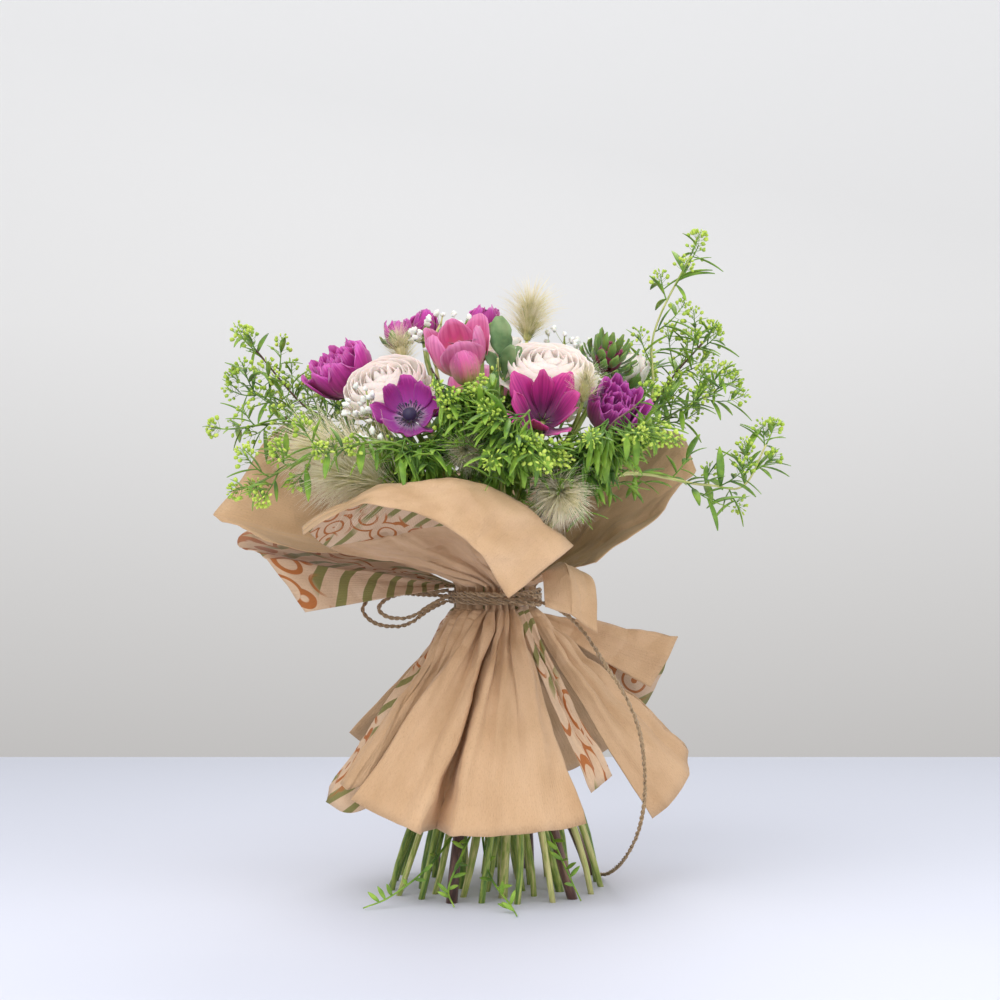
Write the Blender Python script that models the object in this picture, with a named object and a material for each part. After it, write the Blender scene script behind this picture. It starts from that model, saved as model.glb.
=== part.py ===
"""Mixed flower bouquet, spiral tied, standing on its cut stems in kraft paper bound with twine.

Metres, +Z up, the front towards -Y. The origin is on the surface it stands on, under the tie.
"""

import math

import bmesh
import bpy
import numpy as np
from mathutils import Matrix, Vector

# Driving dimensions.
TIE_HEIGHT = 0.196  # middle of the twine turns
STEM_PITCH = 0.00545  # between the rings of stems where they are tied
STEM_GAP = 0.0001
FOOT_RINGS = (0.004, 0.026, 0.050, 0.072)  # where each ring of stems meets the floor
TWIST = math.radians(14)  # how far the spiral turns between floor and tie
SIDES = 6
PAPER = 0.0007
NECK_BAND = 0.007  # half the height of the straight neck under the twine
NECK_VALLEY = 0.0230
NECK_RIDGE = 0.0278
SHARE_OF_SPARE = 0.45  # how much of the free gap beside it a stem takes up
STEM_GAP = 0.0001
CUT_SPARE = 0.004  # stem below the floor, trimmed off
HEAD_SINK = 0.003  # how far a head starts below its outline
WIDEST = 0.45  # how far along a leaf it is widest
GYPSOPHILA_FOOT = 0.0012
GYPSOPHILA_TIP = 0.0006
BRANCH = 0.0012
SPRAY_TIP = 0.0008
RACEME_START = 0.002
RACEME_LENGTH = 0.016
RACEME_RADIUS = 0.0032
LEAF_CLEARANCE = 0.0025
LEAF_ROOM = 0.001
GOLDEN = 2.4  # the turn from one leaf to the next, in radians
SAGE_TIP = 0.0012
SAGE_BLADE = 0.0014
SAGE_TOP = Vector((-0.003, -0.006, 0.036))
SAGE_SIDE = Vector((0.005, -0.013, 0.020))
TWINE = 0.003
TWINE_TURNS = 4
TWINE_GAP = 0.0004
UP = Vector((0, 0, 1))

# name, kind, head's centre, the way it faces, head's radius, stem radius at the tie, at the foot
FLOWERS = (
    ("double_tulip_left", "double", (-0.106, 0.012, 0.350), (-0.5, -0.35, 0.8), 0.021, 0.0027, 0.0031),
    ("ranunculus_left", "globe", (-0.073, -0.025, 0.338), (-0.25, -0.55, 0.8), 0.026, 0.0023, 0.0025),
    ("anemone_front", "bowl", (-0.055, -0.080, 0.318), (-0.1, -0.85, 0.5), 0.022, 0.0021, 0.0022),
    ("half_open_bloom_left", "bud", (-0.068, 0.040, 0.377), (-0.1, 0.1, 1.0), 0.010, 0.0022, 0.0022),
    ("half_open_bloom_back_left", "bud", (-0.050, 0.062, 0.384), (0.0, 0.1, 1.0), 0.011, 0.0022, 0.0022),
    ("tulip_centre", "tulip", (-0.024, -0.040, 0.361), (-0.2, -0.45, 0.9), 0.018, 0.0025, 0.0031),
    ("half_open_bloom_top", "bud", (-0.008, 0.060, 0.386), (0.1, 0.1, 1.0), 0.013, 0.0022, 0.0022),
    ("ranunculus_cream", "globe", (-0.002, 0.018, 0.369), (0.0, -0.1, 1.0), 0.018, 0.0023, 0.0025),
    ("ranunculus_right", "globe", (0.036, -0.035, 0.348), (0.1, -0.5, 0.85), 0.027, 0.0023, 0.0025),
    ("tulip_front", "tulip", (0.032, -0.080, 0.322), (0.05, -0.8, 0.55), 0.020, 0.0025, 0.0031),
    ("double_tulip_right", "double", (0.078, -0.048, 0.322), (0.3, -0.6, 0.7), 0.019, 0.0027, 0.0031),
    ("half_open_bloom_right", "bud", (0.094, 0.032, 0.350), (0.4, 0.1, 0.9), 0.013, 0.0022, 0.0022),
    ("bracted_bud_right", "bud", (0.077, -0.005, 0.357), (0.3, -0.2, 0.9), 0.017, 0.0021, 0.0022),
    ("ranunculus_back", "globe", (0.045, 0.085, 0.345), (0.2, 0.5, 0.8), 0.026, 0.0023, 0.0025),
    ("tulip_back", "tulip", (-0.015, 0.104, 0.335), (0.0, 0.6, 0.8), 0.019, 0.0025, 0.0031),
    ("double_tulip_back", "double", (-0.078, 0.088, 0.332), (-0.4, 0.5, 0.75), 0.020, 0.0027, 0.0031),
)
# name, plume's root, its tip, its radius, stem radius at the tie
PLUMES = (
    ("grass_plume_left", (-0.056, -0.078, 0.279), (-0.148, -0.060, 0.309), 0.0105, 0.0020),
    ("grass_plume_low_left", (-0.055, -0.096, 0.266), (-0.124, -0.106, 0.286), 0.0095, 0.0020),
    ("grass_plume_front", (-0.0175, -0.082, 0.289), (-0.0185, -0.110, 0.297), 0.0120, 0.0022),
    ("grass_plume_front_right", (0.040, -0.078, 0.275), (0.042, -0.112, 0.262), 0.0140, 0.0020),
    ("grass_plume_top", (0.022, 0.022, 0.372), (0.026, 0.026, 0.408), 0.0075, 0.0020),
    ("grass_plume_back_left", (-0.063, 0.019, 0.352), (-0.067, 0.016, 0.382), 0.0075, 0.0020),
    ("grass_plume_right", (0.057, -0.070, 0.326), (0.060, -0.080, 0.349), 0.0065, 0.0020),
)
# name, points that the stem passes above the tie, stem radius at the tie, at the foot
SPRAYS = (
    ("filler_right_top", ((0.100, 0.004, 0.310), (0.108, 0.0, 0.375), (0.133, 0.0, 0.428)), 0.0026, 0.0022),
    (
        "filler_right_low",
        ((0.070, -0.060, 0.274), (0.137, -0.040, 0.272), (0.166, -0.022, 0.271), (0.182, -0.020, 0.299)),
        0.0026,
        0.0020,
    ),
    ("filler_right", ((0.092, 0.060, 0.300), (0.122, 0.040, 0.345), (0.143, 0.024, 0.370)), 0.0026, 0.0038),
    (
        "filler_right_middle",
        ((0.088, 0.020, 0.292), (0.124, 0.012, 0.322), (0.152, 0.008, 0.336)),
        0.0026,
        0.0022,
    ),
    (
        "filler_left_top",
        ((-0.105, 0.045, 0.305), (-0.136, 0.038, 0.330), (-0.166, 0.030, 0.366)),
        0.0026,
        0.0038,
    ),
    (
        "filler_left_middle",
        ((-0.106, -0.004, 0.308), (-0.140, 0.004, 0.322), (-0.168, 0.006, 0.338)),
        0.0026,
        0.0022,
    ),
    (
        "filler_left_far",
        ((-0.108, -0.045, 0.300), (-0.140, -0.040, 0.312), (-0.172, -0.040, 0.309)),
        0.0026,
        0.0022,
    ),
    (
        "filler_left_low",
        ((-0.050, -0.104, 0.290), (-0.105, -0.118, 0.292), (-0.150, -0.112, 0.272)),
        0.0026,
        0.0022,
    ),
    ("filler_front_left", ((-0.030, -0.099, 0.320), (-0.040, -0.113, 0.345)), 0.0026, 0.0038),
    ("filler_front_middle", ((0.002, -0.068, 0.322), (0.002, -0.096, 0.352)), 0.0026, 0.0022),
    ("filler_front_right", ((0.064, -0.096, 0.296), (0.090, -0.096, 0.322)), 0.0026, 0.0036),
    ("filler_front_low", ((0.004, -0.104, 0.292), (0.022, -0.122, 0.318)), 0.0026, 0.0022),
    ("filler_back", ((0.012, 0.118, 0.300), (0.016, 0.134, 0.352)), 0.0026, 0.0038),
    ("filler_back_left", ((-0.098, 0.080, 0.300), (-0.118, 0.092, 0.344)), 0.0026, 0.0022),
    ("filler_back_right", ((0.082, 0.092, 0.310), (0.098, 0.104, 0.350)), 0.0026, 0.0022),
)
# name, points that the stem passes, then the ends of its side branches, which carry florets
GYPSOPHILA = (
    (
        "gypsophila_left",
        ((-0.074, -0.064, 0.300), (-0.084, -0.066, 0.334)),
        ((-0.090, -0.074, 0.318), (-0.078, -0.088, 0.306), (-0.080, -0.060, 0.322)),
    ),
    (
        "gypsophila_top",
        ((-0.040, 0.010, 0.350), (-0.036, 0.016, 0.389)),
        ((-0.052, 0.022, 0.378), (-0.024, 0.028, 0.384), (-0.046, 0.000, 0.374)),
    ),
    (
        "gypsophila_right",
        ((0.044, 0.022, 0.345), (0.048, 0.020, 0.376)),
        ((0.060, 0.030, 0.368), (0.036, 0.034, 0.372), (0.062, 0.012, 0.364)),
    ),
)
SAGE = ("spoon_leaves", ((0.004, -0.030, 0.322), (0.006, -0.034, 0.346)), 0.0022, 0.0021)

LEAF = (0.018, 0.0030, 0.0009)  # length, width and thickness of a filler leaf
FLORET = 0.0034
GYPSOPHILA_RADIUS = 0.0018

# Head outlines: distance along the head's axis and radius, as shares of the head's radius.
OUTLINES = {
    "globe": ((-0.62, 0.14), (-0.50, 0.62), (-0.15, 0.97), (0.20, 1.0), (0.48, 0.74), (0.55, 0.30)),
    "tulip": ((-0.95, 0.14), (-0.80, 0.55), (-0.30, 0.95), (0.35, 0.97), (0.95, 0.66), (1.0, 0.30)),
    "double": ((-0.85, 0.14), (-0.70, 0.60), (-0.10, 0.98), (0.50, 1.0), (0.85, 0.68), (0.80, 0.25)),
    "bowl": ((-0.40, 0.12), (-0.34, 0.50), (0.05, 1.0), (0.12, 0.96), (-0.08, 0.42), (0.12, 0.22)),
    "bud": ((-1.10, 0.20), (-0.90, 0.70), (-0.20, 1.0), (0.55, 0.92), (1.0, 0.50)),
    "plume": ((0.0, 0.25), (0.12, 0.85), (0.40, 1.0), (0.75, 0.72), (1.0, 0.15)),
    "raceme": ((0.0, 0.30), (0.25, 1.0), (0.70, 0.85), (1.0, 0.25)),
}
HEAD_SIDES = {"globe": 8, "tulip": 8, "double": 10, "bowl": 8, "bud": 7, "plume": 8}
GREEN = (0.24, 0.45, 0.09)
COLOURS = {
    "stem": GREEN,
    "woody": (0.20, 0.11, 0.09),
    "globe": (0.86, 0.68, 0.62),
    "tulip": (0.52, 0.04, 0.36),
    "double": (0.36, 0.02, 0.32),
    "bowl": (0.30, 0.02, 0.36),
    "bud": (0.50, 0.05, 0.30),
    "plume": (0.56, 0.50, 0.30),
    "floret": (0.85, 0.85, 0.78),
    "sage": (0.22, 0.36, 0.16),
    "paper": (0.57, 0.36, 0.20),
    "twine": (0.36, 0.25, 0.14),
}

# Each sheet: the arc of the neck that it covers, in degrees from +X, the height above and below the
# neck at which it breaks outwards, its pleats, and its rails. A rail is a line across the sheet,
# given by its corners in the order of the arc; skirt rails run down from the neck, collar rails up.
SHEETS = (
    {
        "name": "paper_front",
        "arc": (-107, -57),
        "breaks": (0.010, 0.005),
        "pleats": 5,
        "collar": (
            (
                (-0.106, -0.096, 0.232), (-0.078, -0.090, 0.240), (-0.040, -0.082, 0.246),
                (0.0, -0.074, 0.238), (0.036, -0.074, 0.222),
            ),
            (
                (-0.121, -0.112, 0.246), (-0.098, -0.116, 0.262), (-0.069, -0.120, 0.272),
                (-0.038, -0.122, 0.276), (-0.006, -0.120, 0.273), (0.018, -0.116, 0.259),
                (0.050, -0.106, 0.233),
            ),
            (
                (-0.120, -0.121, 0.240), (-0.100, -0.132, 0.256), (-0.066, -0.140, 0.259),
                (-0.030, -0.146, 0.248), (-0.006, -0.148, 0.226), (0.010, -0.146, 0.202),
            ),
        ),
        "skirt": (
            (
                (-0.092, -0.080, 0.068), (-0.050, -0.104, 0.050), (-0.038, -0.076, 0.050),
                (-0.026, -0.104, 0.048), (0.016, -0.108, 0.050), (0.057, -0.090, 0.053),
            ),
        ),
    },
    {
        "name": "paper_right_small",
        "arc": (-54, -30),
        "breaks": (0.004, 0.009),
        "pleats": 2,
        "collar": (
            ((0.034, -0.080, 0.212), (0.044, -0.074, 0.214), (0.050, -0.064, 0.214)),
            ((0.046, -0.108, 0.212), (0.062, -0.096, 0.200), (0.064, -0.086, 0.180)),
        ),
        "skirt": (((0.062, -0.074, 0.072), (0.076, -0.052, 0.080)),),
    },
    {
        "name": "paper_right",
        "arc": (-27, 27),
        "breaks": (0.008, 0.005),
        "pleats": 4,
        "collar": (
            (
                (0.066, -0.052, 0.222), (0.100, -0.034, 0.246), (0.135, -0.006, 0.284),
                (0.128, 0.026, 0.308), (0.108, 0.058, 0.314),
            ),
        ),
        "skirt": (
            (
                (0.104, -0.036, 0.050), (0.116, -0.028, 0.058), (0.130, -0.012, 0.076),
                (0.131, 0.002, 0.090), (0.104, 0.012, 0.116),
            ),
        ),
    },
    {
        "name": "paper_back_right",
        "arc": (30, 92),
        "breaks": (0.013, 0.008),
        "pleats": 5,
        "collar": (
            (
                (0.114, 0.066, 0.300), (0.102, 0.096, 0.296), (0.070, 0.128, 0.282),
                (0.034, 0.144, 0.292), (0.004, 0.138, 0.276),
            ),
        ),
        "skirt": (
            (
                (0.108, 0.028, 0.132), (0.128, 0.044, 0.166), (0.104, 0.080, 0.110),
                (0.060, 0.106, 0.066), (0.006, 0.112, 0.058),
            ),
        ),
    },
    {
        "name": "paper_back",
        "arc": (95, 150),
        "breaks": (0.008, 0.005),
        "pleats": 4,
        "collar": (
            (
                (-0.006, 0.146, 0.290), (-0.052, 0.147, 0.276), (-0.092, 0.124, 0.302),
                (-0.116, 0.104, 0.292),
            ),
        ),
        "skirt": (
            (
                (-0.010, 0.110, 0.060), (-0.056, 0.094, 0.066), (-0.086, 0.056, 0.086),
                (-0.100, 0.034, 0.098),
            ),
        ),
    },
    {
        "name": "paper_left_under",
        "arc": (153, 189),
        "breaks": (0.002, 0.003),
        "pleats": 3,
        "collar": (
            (
                (-0.150, 0.040, 0.252), (-0.172, -0.024, 0.236),
                (-0.146, -0.088, 0.226), (-0.121, -0.084, 0.190),
            ),
        ),
        "skirt": (
            (
                (-0.092, 0.006, 0.096), (-0.112, -0.040, 0.062),
                (-0.096, -0.052, 0.056), (-0.080, -0.052, 0.060),
            ),
        ),
    },
    {
        "name": "paper_left",
        "arc": (192, 250),
        "breaks": (0.010, 0.007),
        "pleats": 4,
        "collar": (
            (
                (-0.142, 0.046, 0.318), (-0.156, 0.0, 0.303), (-0.169, -0.030, 0.276),
                (-0.184, -0.055, 0.254), (-0.146, -0.100, 0.236),
            ),
        ),
        "skirt": (((-0.101, -0.056, 0.076), (-0.096, -0.066, 0.073), (-0.058, -0.050, 0.084)),),
    },
)

# The twine's loose runs, by points that each passes, from the turns round the neck.
TWINE_RUNS = {
    "twine_loop_outer": (
        (-0.0321, -0.0055, 0.1935), (-0.044, -0.012, 0.188), (-0.060, -0.022, 0.178), (-0.078, -0.030, 0.179),
        (-0.088, -0.030, 0.188), (-0.082, -0.026, 0.197), (-0.066, -0.016, 0.199), (-0.048, -0.004, 0.1975),
        (-0.0324, 0.0028, 0.1965),
    ),
    "twine_loop_inner": (
        (-0.0300, -0.0120, 0.1975), (-0.042, -0.022, 0.192), (-0.056, -0.032, 0.184), (-0.070, -0.038, 0.184),
        (-0.077, -0.038, 0.190), (-0.070, -0.032, 0.197), (-0.056, -0.026, 0.2000), (-0.044, -0.0165, 0.1995),
        (-0.0312, -0.0088, 0.2008),
    ),
    "twine_tail": (
        (0.0214, -0.0243, 0.196), (0.034, -0.040, 0.193), (0.048, -0.056, 0.186), (0.060, -0.066, 0.173),
        (0.071, -0.070, 0.156), (0.084, -0.068, 0.136), (0.094, -0.062, 0.112), (0.098, -0.056, 0.086),
        (0.098, -0.050, 0.062), (0.094, -0.040, 0.040), (0.086, -0.020, 0.020), (0.078, 0.008, 0.0070),
        (0.072, 0.034, 0.0018), (0.066, 0.052, 0.0020),
    ),
}


def clear_scene():
    for obj in list(bpy.data.objects):
        bpy.data.objects.remove(obj)


def material(name, colour, roughness=0.8):
    made = bpy.data.materials.new(name)
    made.use_nodes = True
    shader = made.node_tree.nodes["Principled BSDF"]
    shader.inputs["Base Color"].default_value = (*colour, 1)
    shader.inputs["Roughness"].default_value = roughness
    shader.inputs["Metallic"].default_value = 0
    return made


def add_object(name, bm, colour):
    """Makes a shaded object of its own from the bmesh."""
    mesh = bpy.data.meshes.new(name)
    bm.normal_update()
    bm.to_mesh(mesh)
    bm.free()
    mesh.shade_smooth()
    mesh.set_sharp_from_angle(angle=math.radians(50))
    obj = bpy.data.objects.new(name, mesh)
    obj.data.materials.append(material(name, colour))
    bpy.context.scene.collection.objects.link(obj)
    return obj


def hermite(start, end, leaving, arriving, count):
    """Points of a smooth curve, start included and end left out."""
    points = []
    for t in np.linspace(0, 1, count, endpoint=False):
        points.append(
            start * (2 * t**3 - 3 * t**2 + 1)
            + leaving * (t**3 - 2 * t**2 + t)
            + end * (3 * t**2 - 2 * t**3)
            + arriving * (t**3 - t**2)
        )
    return points


def smooth_route(corners, count, last=None):
    """A Catmull-Rom curve through the corners, with count points to each span."""
    corners = [Vector(corner) for corner in corners]
    slopes = [corners[1] - corners[0]]
    for before, after in zip(corners, corners[2:]):
        slopes.append((after - before) / 2)
    slopes.append(last or corners[-1] - corners[-2])
    points = []
    for i in range(len(corners) - 1):
        points += hermite(corners[i], corners[i + 1], slopes[i], slopes[i + 1], count)
    return points + [corners[-1]]


def frames(points):
    """Two directions across the curve at each point, carried along it without twist."""
    across = Vector((1, 0, 0))
    made = []
    for i in range(len(points)):
        ahead = (points[min(i + 1, len(points) - 1)] - points[max(i - 1, 0)]).normalized()
        across = (across - ahead * across.dot(ahead)).normalized()
        made.append((across, ahead.cross(across)))
    return made


def swept_body(points, radii, sides=SIDES):
    """One closed tube along the points, with a radius for each."""
    bm = bmesh.new()
    bmesh.ops.create_cone(bm, cap_ends=True, segments=sides, radius1=1, radius2=1, depth=2)
    crossings = frames(points)

    def ring(i):
        first, second = crossings[i]
        turns = (k * math.tau / sides for k in range(sides))
        return [points[i] + (first * math.cos(a) + second * math.sin(a)) * radii[i] for a in turns]

    spoke = {v: round(math.atan2(v.co.y, v.co.x) / math.tau * sides) % sides for v in bm.verts}
    top = max(bm.faces, key=lambda face: face.calc_center_median().z)
    order = [spoke[v] for v in top.verts]
    for v in list(bm.verts):
        v.co = ring(1 if v in top.verts else 0)[spoke[v]]
    for i in range(2, len(points)):
        top = bmesh.ops.extrude_discrete_faces(bm, faces=[top])["faces"][0]
        spots = ring(i)
        for v, k in zip(top.verts, order):
            v.co = spots[k]
    return bm


def tie_slots(targets, radii):
    """Gives every stem its place in the tied bundle: the steepest in the middle, the rest round it in rings.

    targets maps a name to a point that its stem makes for, and radii to its radius at the tie. The
    result maps it to (ring, angle). A ring takes stems until it is full, and the stems, pressed
    together by the tie, share out what is left.
    """
    def lean(name):
        x, y, z = targets[name]
        return math.hypot(x, y) / (z - TIE_HEIGHT)

    def step(ring, first, second):
        reach = (radii[first] + radii[second] + STEM_GAP) / 2
        return 2 * math.asin(min(1, reach / (ring * STEM_PITCH)))

    names = sorted(targets, key=lean)
    radii[names[0]] = STEM_PITCH / 2 - 0.0001
    slots = {names.pop(0): (0, 0.0)}
    ring = 1
    while names:
        here = [names.pop(0)]
        while names:
            trial = here + [names[0]]
            if sum(step(ring, a, b) for a, b in zip(trial, trial[1:] + trial[:1])) > math.tau:
                break
            here.append(names.pop(0))
        here.sort(key=lambda name: math.atan2(targets[name][1], targets[name][0]))
        steps = [step(ring, a, b) for a, b in zip(here, here[1:] + here[:1])]
        spare = (math.tau - sum(steps)) / len(here)
        angles = [sum(steps[:k]) + k * spare for k in range(len(here))]
        wanted = [math.atan2(targets[name][1], targets[name][0]) for name in here]
        drift = [want - angle for want, angle in zip(wanted, angles)]
        start = math.atan2(sum(map(math.sin, drift)), sum(map(math.cos, drift)))
        for name, angle in zip(here, angles):
            slots[name] = (ring, start + angle)
            wider = radii[name] + spare * ring * STEM_PITCH * SHARE_OF_SPARE
            radii[name] = min(wider, STEM_PITCH / 2 - STEM_GAP)
        ring += 1
    return slots


def ring_point(angle, radius, z):
    return Vector((radius * math.cos(angle), radius * math.sin(angle), z))


def stem_route(slot, route, count=3, arriving=None):
    """The points from the cut end through the tie and along the route, and which of them is at the tie."""
    ring, angle = slot
    foot = ring_point(angle - TWIST, FOOT_RINGS[ring], 0)
    tied = ring_point(angle, ring * STEM_PITCH, TIE_HEIGHT)
    corners = [tied] + [Vector(point) for point in route]
    slopes = [UP * (corners[1] - tied).length]
    for before, after in zip(corners, corners[2:]):
        slopes.append((after - before) / 2)
    slopes.append(arriving or corners[-1] - corners[-2])
    points = hermite(foot, tied, tied - foot, UP * TIE_HEIGHT, 4)
    at_tie = len(points)
    for i in range(len(corners) - 1):
        points += hermite(corners[i], corners[i + 1], slopes[i], slopes[i + 1], count)
    return points + [corners[-1]], at_tie


def cut_level(bm):
    """Trims the cut end flush with the floor."""
    geometry = bm.verts[:] + bm.edges[:] + bm.faces[:]
    cut = bmesh.ops.bisect_plane(bm, geom=geometry, plane_co=(0, 0, 0), plane_no=(0, 0, -1), clear_outer=True)
    edges = [part for part in cut["geom_cut"] if isinstance(part, bmesh.types.BMEdge)]
    if edges:
        bmesh.ops.contextual_create(bm, geom=edges)
    bmesh.ops.dissolve_degenerate(bm, dist=1e-6, edges=bm.edges[:])


def stem_radii(points, at_tie, tied_index, foot, tip):
    """Tapers from the foot to the tie and on to the tip."""
    radii = []
    for i in range(len(points)):
        if i <= tied_index:
            radii.append(foot + (at_tie - foot) * min(1, 1.5 * i / tied_index))
        else:
            radii.append(at_tie + (tip - at_tie) * (i - tied_index) / (len(points) - 1 - tied_index))
    return radii


def headed_stem(name, kind, slot, base, facing, outline, foot, at_tie):
    """A stem that swells into its head: the head's rings follow the stem's on one axis."""
    facing = facing.normalized()
    reach = (base - Vector((0, 0, TIE_HEIGHT))).length
    points, tied = stem_route(slot, [base], 4, facing * reach * 0.5)
    radii = stem_radii(points, at_tie, tied, foot, at_tie * 0.9)
    points.insert(0, points[0] + (points[0] - points[1]).normalized() * CUT_SPARE)
    radii.insert(0, foot)
    bm = swept_body(points, radii, HEAD_SIDES[kind])
    top = min(bm.faces, key=lambda face: (face.calc_center_median() - base).length)
    for along, radius in outline:
        top = bmesh.ops.extrude_discrete_faces(bm, faces=[top])["faces"][0]
        centre = top.calc_center_median()
        for v in top.verts:
            outwards = v.co - centre
            outwards -= facing * outwards.dot(facing)
            v.co = base + facing * along + outwards.normalized() * radius
    cut_level(bm)
    return add_object(name, bm, COLOURS[kind])


def add_flower(row, slots):
    name, kind, centre, facing, size, _, foot = row
    at_tie = AT_TIE[name]
    facing = Vector(facing).normalized()
    start = OUTLINES[kind][0][0] * size
    base = Vector(centre) + facing * (start - HEAD_SINK)
    outline = [(along * size - start + HEAD_SINK, radius * size) for along, radius in OUTLINES[kind]]
    headed_stem(name, kind, slots[name], base, facing, outline, foot, at_tie)


def add_plume(row, slots):
    name, root, tip, size, foot = row
    root = Vector(root)
    along = Vector(tip) - root
    outline = [(share * along.length + 0.002, radius * size) for share, radius in OUTLINES["plume"]]
    headed_stem(name, "plume", slots[name], root, along, outline, foot, AT_TIE[name])


def blade(bm, root, tip, width, thickness, side):
    """A leaf: an octahedron stretched from its root to its tip."""
    along = tip - root
    side = (side - along * side.dot(along) / along.length_squared).normalized()
    normal = along.cross(side).normalized()
    made = bmesh.ops.create_uvsphere(bm, u_segments=4, v_segments=2, radius=1)["verts"]
    for v in made:
        x, y, z = v.co
        share = (z + 1) / 2 if z > 0.5 else (z + 1) * WIDEST
        v.co = root + along * share + side * x * width / 2 + normal * y * thickness / 2


def unite(obj, extras, label, colour):
    """Unites the object with its leaves or florets, which become a hidden helper."""
    helper = add_object(obj.name + label, extras, colour)
    helper.hide_render = True
    helper.display_type = "WIRE"
    union = obj.modifiers.new(label, "BOOLEAN")
    union.operation = "UNION"
    union.object = helper


def clear_of(taken, own, start, end, margin):
    """True where a straight piece keeps off every other stem and head."""
    for share in (0.3, 0.65, 1.0):
        spot = start.lerp(end, share)
        for name, spots in taken.items():
            if name == own:
                continue
            for centre, radius in spots:
                if (spot - centre).length < radius + margin:
                    return False
    return True


def add_spray(row, slots, taken):
    """A filler stem: alternate narrow leaves, and a raceme of pods at its tip."""
    name, route, _, foot = row
    points, tied = stem_route(slots[name], route)
    radii = stem_radii(points, AT_TIE[name], tied, foot, SPRAY_TIP)
    stem = swept_body([points[0] - UP * CUT_SPARE] + points, [foot] + radii)
    tip = min(stem.faces, key=lambda face: (face.calc_center_median() - points[-1]).length)
    facing = (points[-1] - points[-2]).normalized()
    for share, radius in OUTLINES["raceme"]:
        tip = bmesh.ops.extrude_discrete_faces(stem, faces=[tip])["faces"][0]
        centre = tip.calc_center_median()
        for v in tip.verts:
            outwards = v.co - centre
            outwards -= facing * outwards.dot(facing)
            along = RACEME_START + share * RACEME_LENGTH
            v.co = points[-1] + facing * along + outwards.normalized() * radius * RACEME_RADIUS
    cut_level(stem)
    leaves = bmesh.new()
    length, width, thickness = LEAF
    first = tied + 2
    for i in range(first, len(points) - 1):
        ahead = (points[i + 1] - points[i]).normalized()
        across = ahead.cross(UP if abs(ahead.z) < 0.8 else Vector((0, 1, 0))).normalized()
        for k in range(2):
            root = points[i].lerp(points[i + 1], 0.25 + 0.5 * k)
            turn = Matrix.Rotation(i * GOLDEN + k * math.pi, 3, ahead)
            end = root + (ahead * 0.6 + turn @ across * 0.8).normalized() * length
            if clear_of(taken, name, root, end, LEAF_CLEARANCE):
                blade(leaves, root, end, width, thickness, ahead.cross(end - root))
                taken.setdefault(name + str(i) + str(k), []).extend(
                    (root.lerp(end, share), LEAF_ROOM) for share in (0.3, 0.6, 0.9)
                )
    colour = COLOURS["woody" if foot > 0.003 else "stem"]
    unite(add_object(name, stem, colour), leaves, "_leaves", colour)


def add_gypsophila(row, slots):
    """A thin forking stem with a round floret on the end of each fork."""
    name, route, ends = row
    points, tied = stem_route(slots[name], route)
    radii = stem_radii(points, AT_TIE[name], tied, GYPSOPHILA_FOOT, GYPSOPHILA_TIP)
    stem = swept_body([points[0] - UP * CUT_SPARE] + points, [GYPSOPHILA_FOOT] + radii)
    cut_level(stem)
    extras = bmesh.new()
    fork = Vector(route[0])
    fork = min(points, key=lambda point: (point - fork).length)
    for end in [Vector(end) for end in ends]:
        blade(extras, fork, end, BRANCH, BRANCH, UP.cross(end - fork))
    florets = bmesh.new()
    for end in [Vector(end) for end in ends] + [points[-1]]:
        bmesh.ops.create_icosphere(florets, subdivisions=1, radius=FLORET, matrix=Matrix.Translation(end))
    obj = add_object(name, stem, COLOURS["floret"])
    unite(obj, extras, "_branches", COLOURS["floret"])
    unite(obj, florets, "_florets", COLOURS["floret"])


def add_sage(row, slots):
    """A stem with two broad spoon-shaped leaves."""
    name, route, _, foot = row
    points, tied = stem_route(slots[name], route)
    radii = stem_radii(points, AT_TIE[name], tied, foot, SAGE_TIP)
    stem = swept_body([points[0] - UP * CUT_SPARE] + points, [foot] + radii)
    cut_level(stem)
    leaves = bmesh.new()
    top = points[-1]
    blade(leaves, top - UP * 0.004, top + SAGE_TOP, 0.011, SAGE_BLADE, Vector((1, 0, 0)))
    blade(leaves, points[-3], points[-3] + SAGE_SIDE, 0.008, SAGE_BLADE, Vector((0.5, 0.8, 0)))
    unite(add_object(name, stem, COLOURS["sage"]), leaves, "_leaves", COLOURS["sage"])


def share_of_corners(rail):
    """How far along the rail each corner lies, from 0 to 1."""
    steps = [(Vector(b) - Vector(a)).length for a, b in zip(rail, rail[1:])]
    return [sum(steps[:k]) / sum(steps) for k in range(len(rail))]


def rail_point(rail, share):
    shares = share_of_corners(rail)
    for k in range(len(rail) - 1):
        if share <= shares[k + 1] + 1e-9:
            local = (share - shares[k]) / (shares[k + 1] - shares[k])
            return Vector(rail[k]).lerp(Vector(rail[k + 1]), local)
    return Vector(rail[-1])


def neck_point(arc, pleats, share, height):
    """A point of the gathered neck, where the sheet zigzags between a valley and a ridge."""
    angle = math.radians(arc[0] + (arc[1] - arc[0]) * share)
    phase = share * pleats
    ridge = 1 - abs(2 * (phase - math.floor(phase)) - 1)
    radius = NECK_VALLEY + (NECK_RIDGE - NECK_VALLEY) * ridge
    return Vector((radius * math.cos(angle), radius * math.sin(angle), TIE_HEIGHT + height))


def leaving_neck(neck, rail_end, rise, steps):
    """Points from the neck to a rail: straight up or down at first, then outwards."""
    turn = neck + Vector((0, 0, rise))
    points = []
    for t in np.linspace(0, 1, steps + 1)[1:]:
        points.append(neck * (1 - t) ** 2 + turn * (2 * t * (1 - t)) + rail_end * t**2)
    return points


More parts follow.
